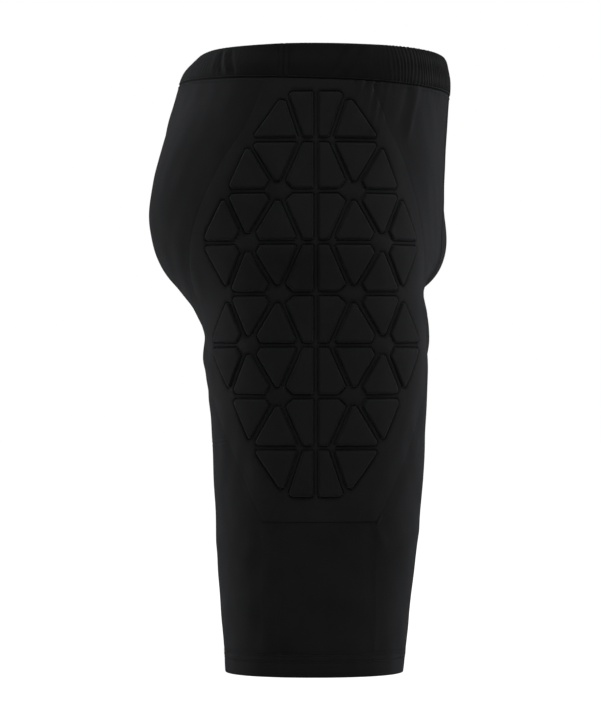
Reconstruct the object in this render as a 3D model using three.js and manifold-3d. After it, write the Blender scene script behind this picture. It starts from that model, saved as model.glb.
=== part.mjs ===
// Padded impact shorts, as they sit on the body: long compression shorts with a quilted
// hip-and-thigh pad on each side.
//
// Frame: millimetres, +Z up, the wearer's front faces -Y, the wearer's right side is -X.
// The origin is on the floor under the middle of the shorts, and both leg hems stand on z = 0.
//
// The shape of the body is a smooth field (negative inside). Each fabric piece is a thin shell
// laid on that surface, and the foam is drawn flat, then wrapped onto it.
import * as THREE from "three";
import { ConvexGeometry } from "three/addons/geometries/ConvexGeometry.js";
import { mergeVertices } from "three/addons/utils/BufferGeometryUtils.js";
import Module from "manifold-3d";

const wasm = await Module();
wasm.setup();

// ---------------------------------------------------------------- driving dimensions

const INSEAM = 290; // hem to crotch
const RISE = 223; // crotch to the top of the waistband
const HIP_HALF_BREADTH = 170; // mid-plane to the side of the hip, without the pad
const LEG_SPREAD = 90; // mid-plane to the middle of a thigh at the crotch
const LEG_LEAN = 10; // how much further out the middle of the leg is at the hem

const FABRIC = 1.0; // stretch fabric, as sewn
const LINING = 0.8; // inner mesh
const SEAM_GAP = 0.8; // between two pieces that are sewn edge to edge
const LAYER_GAP = 0.7; // between two layers that lie on each other
const FACET_ROOM = 0.7; // extra room under a curved layer made of flat facets

const BAND_HEIGHT = 29.7; // waistband, at the side
const BAND_DIP = 4.7; // deeper than that at the front, and shallower at the back
const BAND_BOW = 3; // and deeper by this at both
const ELASTIC = 1.6; // thickness of the elastic inside it
const ELASTIC_MARGIN = 2.5; // casing above and below the elastic
const HEM_HEIGHT = 20;
const HEM_THICKNESS = 2.2; // two turns of fabric

const FOAM = 5; // tile thickness, scrim included
const SCRIM = 0.8; // backing that carries the tiles of one row
const PAD_RAISE = 2.6; // how far the foam lifts the outer fabric
const PAD_CENTRE_Y = -13; // the pad's vertical centre line on the side of the body
const PAD_TOP_DROP = 9; // from the waistband seam to the first row of tiles
const PAD_EDGE = 7; // width of the slope at the pad panel's edge
const ROW_PITCH = 41.3; // height of a row of tiles
const ROWS = 8;
const PAD_APRON = 18; // plain fabric below the last row
const CHANNEL = 4.4; // between the stitch lines of neighbouring tiles
const STITCH_MARGIN = 1.0; // from a stitch line to the foam inside it
// Distance of each column of the tile lattice from the pad's centre line, along the fabric.
const COLUMNS = [11.5, 30, 56, 76.5, 102];
const TILES_IN_ROW = [1, 2, 3, 3, 3, 3, 2, 1]; // triangles on each side of the centre pair
const HUB_CUT = 7.5; // tile corners end this far from a hub, which leaves a hexagon
const PINCH_CUT = 5.5;
const RIM_CUT = 4.5;
const CAP_CUT = 9; // the first and last rows' triangles are blunt
const CHAMFER = 5.6; // and so are their tiles beside the centre line, a little

const SIDE_SEAM = -27; // the side seam, along the fabric from the pad's centre line
const POUCH_HALF_WIDTH = 46;
const GUSSET_DEPTH = 34; // how far the gusset reaches down the inner thigh
const GUSSET_TIP = 4;

// The body's outline, given at a few levels below the top of the waistband.
const TRUNK = [
  { drop: 0, front: 116, back: 80, breadth: -24 },
  { drop: 7, front: 122, back: 87, breadth: -22 },
  { drop: 18, front: 124.5, back: 97, breadth: -18 },
  { drop: 30, front: 126, back: 102, breadth: -16 },
  { drop: 78, front: 123.5, back: 113.5, breadth: -7 },
  { drop: 130, front: 121, back: 111.5, breadth: 0 },
  { drop: 170, front: 118, back: 109, breadth: 1 },
];
// The leg's outline, given at shares of the way from the hem to the crotch.
const LEG = [
  { share: 0, side: 66, depth: 73, y: -12 },
  { share: 0.17, side: 69.5, depth: 77.5, y: -12.7 },
  { share: 0.43, side: 75, depth: 83.5, y: -14.6 },
  { share: 0.69, side: 79.5, depth: 88.2, y: -15.6 },
  { share: 0.96, side: 82, depth: 92.5, y: -12.7 },
  { share: 1.25, side: 80, depth: 88, y: -10 },
];
const TRUNK_ROUNDNESS = 2.4; // exponent of the superellipse
const LEG_ROUNDNESS = 2.15;
const SEAT_CUP = 58; // height of the rounded bottom of the trunk
const LEG_CAP = 150; // height of the rounded top of the leg, hidden in the trunk
const GLUTE = { x: 68, y: 42, above: 86, rx: 76, ry: 82, rz: 88 };
const POUCH = { y: -78, above: 64, rx: 44, ry: 45, rz: 46 };
const BLEND = 24; // radius of the blends between body parts
const LEG_BLEND = 10; // and between the two thighs

// The edge of the pad panel: how far from the centre line, to the front and to the back,
// at a few levels above the panel's bottom edge.
const PANEL_EDGE = [
  { up: 0, front: 51, back: 44 },
  { up: 67, front: 90, back: 82 },
  { up: 119, front: 117, back: 117 },
  { up: 165, front: 120, back: 121 },
  { up: 225, front: 112, back: 113 },
  { up: 287, front: 83, back: 81 },
  { up: 321, front: 61, back: 57 },
  { up: 359, front: 43, back: 41 },
];

// ---------------------------------------------------------------- derived levels

const TOP = INSEAM + RISE;
const BAND_BOTTOM = TOP - BAND_HEIGHT;
const PAD_TOP = BAND_BOTTOM - PAD_TOP_DROP;
const PAD_BOTTOM = PAD_TOP - ROWS * ROW_PITCH;
const PANEL_BOTTOM = PAD_BOTTOM - PAD_APRON;
const LEG_TOP = HEM_HEIGHT + SEAM_GAP;
const THIGH_SEAM = { atPad: PANEL_BOTTOM + 64, atInseam: PANEL_BOTTOM + 52 };

// Offsets of the pad's layers from the body surface, outwards.
const FOAM_OUT = PAD_RAISE - FABRIC - LAYER_GAP - FACET_ROOM;
const FOAM_IN = FOAM_OUT - FOAM;
const LINING_OUT = FOAM_IN - LAYER_GAP - 2 * FACET_ROOM;

// ---------------------------------------------------------------- the body's shape

/** Smooth curve through (at, value) stations, flat beyond both ends. */
function through(stations, key, value) {
  const sorted = [...stations].sort((a, b) => a[key] - b[key]);
  const x = sorted.map((s) => s[key]);
  const y = sorted.map((s) => s[value]);
  const slope = x.map((_, i) => {
    const a = Math.max(0, i - 1);
    const b = Math.min(x.length - 1, i + 1);
    return (y[b] - y[a]) / (x[b] - x[a]);
  });
  return (at) => {
    if (at <= x[0]) return y[0];
    if (at >= x[x.length - 1]) return y[y.length - 1];
    const i = x.findIndex((v) => v > at) - 1;
    const h = x[i + 1] - x[i];
    const t = (at - x[i]) / h;
    const [t2, t3] = [t * t, t * t * t];
    return (
      (2 * t3 - 3 * t2 + 1) * y[i] +
      (t3 - 2 * t2 + t) * h * slope[i] +
      (3 * t2 - 2 * t3) * y[i + 1] +
      (t3 - t2) * h * slope[i + 1]
    );
  };
}

const trunkFront = through(TRUNK, "drop", "front");
const trunkBack = through(TRUNK, "drop", "back");
const trunkBreadth = through(TRUNK, "drop", "breadth");
const legSide = through(LEG, "share", "side");
const legDepth = through(LEG, "share", "depth");
const legY = through(LEG, "share", "y");

const smoothMin = (a, b, radius) => {
  const h = Math.max(0, radius - Math.abs(a - b)) / radius;
  return Math.min(a, b) - (h * h * radius) / 4;
};
const superNorm = (u, v, n) => (Math.abs(u) ** n + Math.abs(v) ** n) ** (1 / n);

/** Middle of the right leg at height z. */
function legAxis(z) {
  const share = z / INSEAM;
  return { x: -(LEG_SPREAD + LEG_LEAN * (1 - share)), y: legY(share) };
}

function trunkField(x, y, z) {
  const drop = TOP - z;
  const front = trunkFront(drop);
  const back = trunkBack(drop);
  const half = (front + back) / 2;
  const breadth = HIP_HALF_BREADTH + trunkBreadth(drop);
  const ring = superNorm(x / breadth, (y - (back - front) / 2) / half, TRUNK_ROUNDNESS);
  const below = Math.max(0, INSEAM + SEAT_CUP - z) / SEAT_CUP;
  return (Math.hypot(ring, below) - 1) * half;
}

function legField(x, y, z) {
  const share = z / INSEAM;
  const axis = legAxis(z);
  const ring = superNorm(
    (x - axis.x) / legSide(share),
    (y - axis.y) / legDepth(share),
    LEG_ROUNDNESS,
  );
  const above = Math.max(0, z - INSEAM) / LEG_CAP;
  return (Math.hypot(ring, above) - 1) * legSide(share);
}

function lobeField(x, y, z, lobe, lobeX) {
  const scaled = Math.hypot(
    (x - lobeX) / lobe.rx,
    (y - lobe.y) / lobe.ry,
    (z - INSEAM - lobe.above) / lobe.rz,
  );
  return (scaled - 1) * Math.min(lobe.rx, lobe.ry, lobe.rz);
}

/** Negative inside the body, zero on its surface. */
function field(x, y, z) {
  const legs = smoothMin(legField(x, y, z), legField(-x, y, z), LEG_BLEND);
  const glutes = smoothMin(
    lobeField(x, y, z, GLUTE, -GLUTE.x),
    lobeField(x, y, z, GLUTE, GLUTE.x),
    BLEND,
  );
  const seat = smoothMin(trunkField(x, y, z), glutes, BLEND);
  const front = smoothMin(seat, lobeField(x, y, z, POUCH, 0), BLEND / 2);
  return smoothMin(front, legs, BLEND);
}

/** Outward unit normal of the body at a point. */
function normalAt(p) {
  const h = 0.5;
  return new THREE.Vector3(
    field(p.x + h, p.y, p.z) - field(p.x - h, p.y, p.z),
    field(p.x, p.y + h, p.z) - field(p.x, p.y - h, p.z),
    field(p.x, p.y, p.z + h) - field(p.x, p.y, p.z - h),
  ).normalize();
}

/** Where a ray from a point leaves (or, with entering, enters) the body. */
function cast(from, direction, { entering = false, reach = 320, step = 4 } = {}) {
  const at = (t) => {
    const p = from.clone().addScaledVector(direction, t);
    return entering ? -field(p.x, p.y, p.z) : field(p.x, p.y, p.z);
  };
  let far = step;
  while (at(far) < 0 && far < reach) far += step;
  let near = far - step;
  for (let i = 0; i < 30; i++) {
    const middle = (near + far) / 2;
    if (at(middle) < 0) near = middle;
    else far = middle;
  }
  return from.clone().addScaledVector(direction, far);
}

/** Point of the right half at height z, phi radians from the side (0) towards the front. */
function around(phi, z) {
  const axis = legAxis(z);
  const from = new THREE.Vector3(axis.x, axis.y, z);
  return cast(from, new THREE.Vector3(-Math.cos(phi), -Math.sin(phi), 0));
}

/** The phi of a point, turning the short way round from the side. */
function phiOf(p) {
  const axis = legAxis(p.z);
  return Math.atan2(axis.y - p.y, axis.x - p.x);
}

// ---------------------------------------------------------------- distances along the fabric

const ARC_STEP = THREE.MathUtils.degToRad(3);
const ARC_REACH = THREE.MathUtils.degToRad(168);
const ARC_LEVEL = 5; // height between the levels that are measured
const arcTables = new Map();

/** Lengths along the section at a level, from the pad's centre line. */
function arcTable(level) {
  if (!arcTables.has(level)) {
    const z = level * ARC_LEVEL;
    const phi = [];
    for (let a = -ARC_REACH; a <= ARC_REACH; a += ARC_STEP) phi.push(a);
    const points = phi.map((a) => around(a, z));
    const length = [0];
    for (let i = 1; i < phi.length; i++)
      length.push(length[i - 1] + points[i].distanceTo(points[i - 1]));
    const side = new THREE.Vector3(legAxis(z).x, PAD_CENTRE_Y, z);
    const centre = interpolate(phi, length, phiOf(cast(side, new THREE.Vector3(-1, 0, 0))));
    arcTables.set(level, { phi, length: length.map((v) => v - centre) });
  }
  return arcTables.get(level);
}

/** Straight-line interpolation of ys over rising xs, going on beyond both ends. */
function interpolate(xs, ys, x) {
  let i = xs.findIndex((v) => v > x);
  if (i < 0) i = xs.length - 1;
  i = Math.max(1, i);
  return ys[i - 1] + ((x - xs[i - 1]) / (xs[i] - xs[i - 1])) * (ys[i] - ys[i - 1]);
}

/** Reads one column of the arc tables from another, between the two nearest levels. */
function readArcs(from, to, value, z) {
  const level = Math.floor(z / ARC_LEVEL);
  const [low, high] = [arcTable(level), arcTable(level + 1)].map((table) =>
    interpolate(table[from], table[to], value),
  );
  return THREE.MathUtils.lerp(low, high, z / ARC_LEVEL - level);
}

/** The phi of the fabric that is p millimetres in front of the pad's centre line. */
const phiAtArc = (p, z) => readArcs("length", "phi", p, z);
const arcAtPhi = (phi, z) => readArcs("phi", "length", phi, z);

const panelFront = through(PANEL_EDGE, "up", "front");
const panelBack = through(PANEL_EDGE, "up", "back");
const frontEdge = (z) => panelFront(z - PANEL_BOTTOM);
const backEdge = (z) => -panelBack(z - PANEL_BOTTOM);

/** Height of the waistband's lower seam above or below a point of the body. */
const bandBottom = (p) => {
  const forward = p.y / Math.hypot(p.x, p.y);
  return BAND_BOTTOM + BAND_DIP * forward - BAND_BOW * forward ** 2;
};

// ---------------------------------------------------------------- building closed shells

/** A geometry from vertices and triangles. */
function meshOf(vertices, triangles) {
  const geometry = new THREE.BufferGeometry();
  const flat = vertices.flatMap((v) => [v.x, v.y, v.z]);
  geometry.setAttribute("position", new THREE.Float32BufferAttribute(flat, 3));
  geometry.setIndex(triangles);
  return geometry;
}

/**
 * A closed shell on the body from a grid of surface points, or holes where cells is false.
 * layer(i, j) gives the offsets of its outer and inner faces from the surface.
 * wrap joins the last column to the first.
 */
function shell(grid, layer, { cells = () => true, wrap = false } = {}) {
  const rows = grid.length;
  const cols = grid[0].length;
  const vertices = [];
  for (let i = 0; i < rows; i++)
    for (let j = 0; j < cols; j++) {
      const p = grid[i][j];
      const n = p.normal ?? normalAt(p);
      const { out, inn } = layer(i, j);
      vertices.push(p.clone().addScaledVector(n, out), p.clone().addScaledVector(n, inn));
    }
  const outer = (i, j) => 2 * (i * cols + (j % cols));
  const inner = (i, j) => outer(i, j) + 1;
  const bands = wrap ? cols : cols - 1;
  const used = (i, j) => {
    if (i < 0 || i >= rows - 1) return false;
    if (!wrap && (j < 0 || j >= bands)) return false;
    return cells(i, (j + bands) % bands);
  };
  const triangles = [];
  const quad = (a, b, c, d) => triangles.push(a, b, c, a, c, d);
  const wall = (i0, j0, i1, j1) =>
    quad(outer(i0, j0), inner(i0, j0), inner(i1, j1), outer(i1, j1));
  for (let i = 0; i < rows - 1; i++)
    for (let j = 0; j < bands; j++) {
      if (!used(i, j)) continue;
      quad(outer(i, j), outer(i, j + 1), outer(i + 1, j + 1), outer(i + 1, j));
      quad(inner(i, j), inner(i + 1, j), inner(i + 1, j + 1), inner(i, j + 1));
      if (!used(i - 1, j)) wall(i, j, i, j + 1);
      if (!used(i + 1, j)) wall(i + 1, j + 1, i + 1, j);
      if (!used(i, j - 1)) wall(i + 1, j, i, j);
      if (!used(i, j + 1)) wall(i, j + 1, i + 1, j + 1);
    }
  return facingOut(meshOf(vertices, triangles));
}

/** The same closed geometry with its faces pointing outwards. */
function facingOut(geometry) {
  const position = geometry.getAttribute("position");
  const index = geometry.index.array;
  const corner = (i) => new THREE.Vector3().fromBufferAttribute(position, i);
  let volume = 0;
  for (let i = 0; i < index.length; i += 3)
    volume += corner(index[i]).dot(corner(index[i + 1]).cross(corner(index[i + 2])));
  if (volume > 0) return geometry;
  const turned = [];
  for (let i = 0; i < index.length; i += 3) turned.push(index[i], index[i + 2], index[i + 1]);
  geometry.setIndex(turned);
  return geometry;
}

/** The left-hand copy of a right-hand geometry. */
function mirrored(geometry) {
  const copy = geometry.clone().applyMatrix4(new THREE.Matrix4().makeScale(-1, 1, 1));
  return facingOut(copy);
}

const evenly = (count) => Array.from({ length: count + 1 }, (_, i) => i / count);
const spread = (from, to, pitch) => {
  const count = Math.max(1, Math.round((to - from) / pitch));
  return evenly(count).map((s) => from + (to - from) * s);
};
const fabricLayer = () => ({ out: 0, inn: -FABRIC });

// ---------------------------------------------------------------- pouch and gusset

// The pouch and the gusset fan round a line across the pelvis.
const FAN_Y = -15;
const FAN_Z = INSEAM + SEAT_CUP + 22;
const FAN_FRONT = THREE.MathUtils.degToRad(56); // below straight ahead, where they meet
const FAN_BACK = THREE.MathUtils.degToRad(131);
const fanDirection = (beta) => new THREE.Vector3(0, -Math.cos(beta), -Math.sin(beta));

/** Point of the front at x, on the fan's ray beta. */
const fanPoint = (x, beta) => cast(new THREE.Vector3(x, FAN_Y, FAN_Z), fanDirection(beta));
const frontPoint = (x, z) => cast(new THREE.Vector3(x, FAN_Y, z), new THREE.Vector3(0, -1, 0));

/** Gusset section at fan angle beta, from the right edge (-1) over the middle to the left. */
function gussetPoint(beta, turn) {
  const along = (beta - FAN_FRONT) / (FAN_BACK - FAN_FRONT);
  const depth = GUSSET_TIP + GUSSET_DEPTH * Math.sin(Math.PI * along);
  const ray = fanDirection(beta);
  const centre = fanPoint(0, beta).addScaledVector(ray, depth);
  const alpha = (turn * Math.PI) / 2;
  const direction = ray.clone().multiplyScalar(-Math.cos(alpha));
  direction.x = Math.sin(alpha);
  return cast(centre, direction, { entering: true, step: 0.5 });
}

const TIP_HALF_WIDTH = gussetPoint(FAN_FRONT, 1).x;

/** Half the pouch's width, from the waistband seam (0) to the gusset (1). */
const pouchWidth = (share) =>
  THREE.MathUtils.lerp(POUCH_HALF_WIDTH, TIP_HALF_WIDTH, THREE.MathUtils.smoothstep(share, 0.3, 1));

/** Point of the pouch: straight ahead above the fan's line, then round the fan. */
function pouchPoint(share, across) {
  const x = across * pouchWidth(share);
  const straight = 0.5;
  if (share > straight)
    return fanPoint(x, ((share - straight) / (1 - straight)) * FAN_FRONT);
  const top = bandBottom(frontPoint(x, BAND_BOTTOM)) - SEAM_GAP;
  return frontPoint(x, THREE.MathUtils.lerp(top, FAN_Z, share / straight));
}

// ---------------------------------------------------------------- the leg panels' inner edges

const WHOLE_TURN = 2 * Math.PI;
const positive = (phi) => (phi < 0 ? phi + WHOLE_TURN : phi);
const negative = (phi) => (phi > 0 ? phi - WHOLE_TURN : phi);

/** phi of an edge at height z, from its points in order of falling z; the last one goes on. */
function edgeOf(points, signed) {
  const z = points.map((p) => -p.z);
  const phi = points.map((p) => signed(phiOf(p)));
  return (height) => interpolate(z, phi, Math.min(-height, z[z.length - 1]));
}

const steps = evenly(10);
const pouchSide = evenly(16).map((s) => pouchPoint(s, -1));
const gussetFront = steps.map((s) =>
  gussetPoint(THREE.MathUtils.lerp(FAN_FRONT, Math.PI / 2, s), -1),
);
const gussetBack = steps.map((s) =>
  gussetPoint(THREE.MathUtils.lerp(FAN_BACK, Math.PI / 2, s), -1),
);
const gussetHeel = steps.map((s) => gussetPoint(FAN_BACK, -s));
const GUSSET_LOW = gussetFront[gussetFront.length - 1].z;

/** phi of the inseam at height z: where the thigh faces the other one, below the gusset. */
function inseamPhi(z) {
  const low = gussetFront[gussetFront.length - 1];
  const from = new THREE.Vector3(legAxis(z).x, low.y, z);
  return phiOf(cast(from, new THREE.Vector3(1, 0, 0)));
}

const upperFront = edgeOf([...pouchSide, ...gussetFront.slice(1)], positive);
const heelEdge = edgeOf([...gussetHeel, ...gussetBack.slice(1)], negative);
const backMiddle = (z) => cast(new THREE.Vector3(0, 0, z), new THREE.Vector3(0, 1, 0));
const upperBack = (z) => (z > gussetHeel[0].z ? phiOf(backMiddle(z)) : heelEdge(z));
const EDGE_ROOM = 0.014; // radians kept free at the pouch, the gusset and the inseam
const innerFront = (z) =>
  positive(z > GUSSET_LOW ? upperFront(z) : inseamPhi(z)) - EDGE_ROOM;
const innerBack = (z) =>
  negative(z > GUSSET_LOW ? upperBack(z) : inseamPhi(z)) + EDGE_ROOM;


// ---------------------------------------------------------------- panels of the right half

const MIDDLE_ROOM = 0.5; // from the centre plane to the seat seam's edge of each half

/**
 * A grid on the right half. Row v (0 to 1) runs between the heights low and high, column u
 * between the arcs from and to; low and high may depend on the column's phi.
 */
function patch({ low, high, from, to, rows, columns }) {
  const at = (z, u) => around(phiAtArc(THREE.MathUtils.lerp(from(z), to(z), u), z), z);
  return rows.map((v) =>
    columns.map((u) => {
      const top = at(BAND_BOTTOM, u);
      const p = at(THREE.MathUtils.lerp(low(top, u), high(top, u), v), u);
      return p.setX(Math.min(p.x, -MIDDLE_ROOM));
    }),
  );
}

const panelTop = (p) => bandBottom(p) - SEAM_GAP;
const thighSeam = (u) => THREE.MathUtils.lerp(THIGH_SEAM.atPad, THIGH_SEAM.atInseam, u);
const frontInner = (z) => arcAtPhi(innerFront(z), z);
const backInner = (z) => arcAtPhi(innerBack(z), z);
const frontRim = (z) => frontEdge(z) + SEAM_GAP;
const backRim = (z) => backEdge(z) - SEAM_GAP;
const CUFF_TOP = PANEL_BOTTOM - SEAM_GAP; // the leg panels meet the pad panel here

/** How far a point of the pad panel is from its edge, as 0 at the edge and 1 on the pad. */
function padShare(p) {
  const arc = arcAtPhi(phiOf(p), p.z);
  const side = Math.min(frontEdge(p.z) - arc, arc - backEdge(p.z));
  const end = Math.min(p.z - PANEL_BOTTOM, bandBottom(p) - p.z);
  return THREE.MathUtils.smoothstep(Math.min(side, end), 0, PAD_EDGE);
}

const EDGE_COLUMNS = [0, 0.06];
const padColumns = [
  ...EDGE_COLUMNS,
  ...spread(EDGE_COLUMNS[1], 1 - EDGE_COLUMNS[1], 0.08).slice(1, -1),
  ...EDGE_COLUMNS.map((u) => 1 - u).reverse(),
];
const padRows = [0, 0.022, ...spread(0.022, 0.98, 0.048).slice(1), 1];
const padGrid = patch({
  low: () => PANEL_BOTTOM,
  high: panelTop,
  from: backEdge,
  to: frontEdge,
  rows: padRows,
  columns: padColumns,
});
const padGridShare = padGrid.map((row) => row.map(padShare));

const padPanel = shell(padGrid, (i, j) => {
  const out = PAD_RAISE * padGridShare[i][j];
  return { out, inn: out - FABRIC };
});
const padBacking = shell(padGrid, (i, j) => {
  const out = THREE.MathUtils.lerp(-FABRIC - LAYER_GAP, LINING_OUT, padGridShare[i][j]);
  return { out, inn: out - LINING };
});

const PANEL_COLUMNS = evenly(7);

/** Panel beside the pad; below the pad it also reaches in as far as the side seam. */
function legPanel({ seam, corner, rim, inner, high, rows }) {
  const under = evenly(4).slice(0, -1);
  const cuff = spread(LEG_TOP, CUFF_TOP, 19).map((z) => [
    ...under.map((u) => around(phiAtArc(THREE.MathUtils.lerp(seam, corner, u), z), z)),
    ...PANEL_COLUMNS.map((u) =>
      around(phiAtArc(THREE.MathUtils.lerp(rim(z), inner(z), u), z), z),
    ),
  ]);
  const upper = patch({
    low: () => CUFF_TOP,
    high,
    from: rim,
    to: inner,
    rows: rows.slice(1),
    columns: PANEL_COLUMNS,
  }).map((row) => [...under.map(() => row[0]), ...row]);
  const cells = (i, j) => i < cuff.length - 1 || j >= under.length;
  return shell([...cuff, ...upper], fabricLayer, { cells });
}

/** Adds rows where the edge turns from the inseam on to the gusset. */
function withGussetRows(rows) {
  const share = (z) => (z - CUFF_TOP) / (BAND_BOTTOM - CUFF_TOP);
  const extra = [0, 4, 9].map((up) => share(GUSSET_LOW - 2 + up));
  const near = (v) => extra.some((e) => Math.abs(e - v) < 0.01);
  return [...rows.filter((v) => !near(v)), ...extra].sort((a, b) => a - b);
}

const frontPanel = legPanel({
  seam: SIDE_SEAM + SEAM_GAP / 2,
  corner: frontRim(0),
  rim: frontRim,
  inner: frontInner,
  high: panelTop,
  rows: withGussetRows(evenly(20)),
});
const backLegPanel = legPanel({
  seam: SIDE_SEAM - SEAM_GAP / 2,
  corner: backRim(0),
  rim: backRim,
  inner: backInner,
  high: (p, u) => thighSeam(u) - SEAM_GAP / 2,
  rows: evenly(5),
});
const seatPanel = shell(
  patch({
    low: (p, u) => thighSeam(u) + SEAM_GAP / 2,
    high: panelTop,
    from: backRim,
    to: backInner,
    rows: evenly(18),
    columns: evenly(9),
  }),
  fabricLayer,
);

// ---------------------------------------------------------------- pouch and gusset pieces

const across = evenly(8).map((u) => 2 * u - 1);
const pouchGrid = evenly(14).map((share) => across.map((u) => pouchPoint(share, u * 0.985)));
const pouchPanel = shell(pouchGrid, fabricLayer);
const pouchLining = shell(
  pouchGrid.slice(1, -1).map((row) => row.slice(1, -1)),
  () => ({ out: -FABRIC - LAYER_GAP, inn: -FABRIC - LAYER_GAP - LINING }),
);
const crotchGusset = shell(
  evenly(12).map((s) => {
    const beta = THREE.MathUtils.lerp(FAN_FRONT + 0.01, FAN_BACK - 0.01, s);
    return evenly(10).map((u) => gussetPoint(beta, (2 * u - 1) * 0.91));
  }),
  fabricLayer,
);

// ---------------------------------------------------------------- waistband and hems

/**
 * Sweeps a closed section round a ring of stations. section(station) gives the section's
 * corners as { out, z, at }, where at(z) is the surface point of the station at height z.
 */
function sweep(stations, section, closed) {
  const rings = stations.map((station) =>
    section(station).map(({ out, z, at }) => {
      const p = at(z);
      return p.clone().addScaledVector(normalAt(p), out);
    }),
  );
  const size = rings[0].length;
  const count = closed ? rings.length : rings.length - 1;
  const id = (i, k) => (i % rings.length) * size + (k % size);
  const triangles = [];
  for (let i = 0; i < count; i++)
    for (let k = 0; k < size; k++) {
      triangles.push(id(i, k), id(i + 1, k), id(i + 1, k + 1));
      triangles.push(id(i, k), id(i + 1, k + 1), id(i, k + 1));
    }
  if (!closed) {
    const outline = section(stations[0]).map(({ out, z }) => new THREE.Vector2(out, z));
    const clockwise = THREE.ShapeUtils.isClockWise(outline);
    const last = rings.length - 1;
    for (const [a, b, c] of THREE.ShapeUtils.triangulateShape(outline, [])) {
      const [x, y] = clockwise ? [b, c] : [c, b];
      triangles.push(id(0, a), id(0, y), id(0, x));
      triangles.push(id(last, a), id(last, x), id(last, y));
    }
  }
  return facingOut(meshOf(rings.flat(), triangles));
}

/** Point of the trunk at height z, turned from the front towards the right side. */
const ringPoint = (angle, z) =>
  cast(new THREE.Vector3(0, 0, z), new THREE.Vector3(-Math.sin(angle), -Math.cos(angle), 0));

/** Corners of a section at one offset, running from the height from to the height to. */
const run = (at, out, from, to) =>
  evenly(3).map((s) => ({ out, z: THREE.MathUtils.lerp(from, to, s), at }));

/** Section of the casing: fabric folded over the elastic, open at the foot. */
function casing(angle) {
  const at = (z) => ringPoint(angle, z);
  const foot = bandBottom(at(BAND_BOTTOM));
  const inside = -FABRIC - 2 * LAYER_GAP - ELASTIC;
  const fold = TOP - FABRIC;
  return [
    ...run(at, 0, foot, fold),
    { out: -FABRIC, z: TOP, at },
    { out: inside, z: TOP, at },
    ...run(at, inside - FABRIC, fold, foot),
    ...run(at, inside, foot, fold),
    ...run(at, -FABRIC, fold, foot),
  ];
}

function elasticSection(angle) {
  const at = (z) => ringPoint(angle, z);
  const foot = bandBottom(at(BAND_BOTTOM)) + ELASTIC_MARGIN;
  const head = TOP - FABRIC - LAYER_GAP;
  const outside = -FABRIC - LAYER_GAP;
  return [...run(at, outside, foot, head), ...run(at, outside - ELASTIC, head, foot)];
}

const seamPoint = around(phiAtArc(SIDE_SEAM, BAND_BOTTOM), BAND_BOTTOM);
const SEAM_ANGLE = Math.atan2(-seamPoint.x, -seamPoint.y);
const SEAM_ROOM = SEAM_GAP / 2 / seamPoint.length();
const frontAngles = spread(-SEAM_ANGLE + SEAM_ROOM, SEAM_ANGLE - SEAM_ROOM, 0.14);
const backAngles = spread(SEAM_ANGLE + SEAM_ROOM, WHOLE_TURN - SEAM_ANGLE - SEAM_ROOM, 0.14);
const waistbandFront = sweep(frontAngles, casing, false);
const waistbandBack = sweep(backAngles, casing, false);
const waistElastic = sweep([...frontAngles, ...backAngles], elasticSection, true);

/** Section of the hem: a fold at the foot, stitched flat at the top. */
function hemSection(phi) {
  const at = (z) => around(phi, z);
  const fold = HEM_THICKNESS / 2;
  return [
    { out: 0, z: fold, at },
    { out: 0, z: HEM_HEIGHT, at },
    { out: -HEM_THICKNESS, z: HEM_HEIGHT, at },
    { out: -HEM_THICKNESS, z: fold, at },
    { out: -HEM_THICKNESS * 0.8, z: 0, at },
    { out: -HEM_THICKNESS * 0.2, z: 0, at },
  ];
}
const hem = sweep(spread(-Math.PI, Math.PI, 0.16).slice(0, -1), hemSection, true);

// ---------------------------------------------------------------- foam rows

/** Column c (1 to 5) of the tile lattice in the band below row k. Odd columns are pinches. */
function node(c, k) {
  const row = (c + k) % 2 === 0 ? k : k + 1;
  return { x: COLUMNS[c - 1], y: PAD_TOP - row * ROW_PITCH, cut: cutAt(c, row) };
}

/** How much is cut off the tile corners at column c of a row. */
function cutAt(c, row) {
  if (row === 0 || row === ROWS) return CAP_CUT;
  const depth = Math.min(row, ROWS - row);
  if (c === 2 || (c === 3 && depth > 2)) return HUB_CUT;
  if (c === 1) return depth > 2 ? PINCH_CUT : 0;
  return RIM_CUT;
}

/** The part of a convex polygon on the inner side of a line through p with normal n. */
function clipped(polygon, p, n) {
  const side = (v) => (v.x - p.x) * n.x + (v.y - p.y) * n.y;
  return polygon.flatMap((v, i) => {
    const w = polygon[(i + 1) % polygon.length];
    const [a, b] = [side(v), side(w)];
    const keep = a >= 0 ? [v] : [];
    if (a >= 0 === b >= 0) return keep;
    const t = a / (a - b);
    return [...keep, { x: v.x + (w.x - v.x) * t, y: v.y + (w.y - v.y) * t }];
  });
}

/** A tile's outline: its lattice corners, shrunk, with the corners cut. */
function tileOutline(corners, inset) {
  const middle = {
    x: corners.reduce((sum, v) => sum + v.x, 0) / corners.length,
    y: corners.reduce((sum, v) => sum + v.y, 0) / corners.length,
  };
  let outline = corners;
  corners.forEach((v, i) => {
    const w = corners[(i + 1) % corners.length];
    const length = Math.hypot(w.x - v.x, w.y - v.y);
    let n = { x: -(w.y - v.y) / length, y: (w.x - v.x) / length };
    if ((middle.x - v.x) * n.x + (middle.y - v.y) * n.y < 0) n = { x: -n.x, y: -n.y };
    outline = clipped(outline, { x: v.x + n.x * inset, y: v.y + n.y * inset }, n);
    if (!v.cut) return;
    const reach = Math.hypot(middle.x - v.x, middle.y - v.y);
    const m = { x: (middle.x - v.x) / reach, y: (middle.y - v.y) / reach };
    const depth = v.cut + inset - CHANNEL / 2;
    outline = clipped(outline, { x: v.x + m.x * depth, y: v.y + m.y * depth }, m);
  });
  return outline;
}

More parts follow.
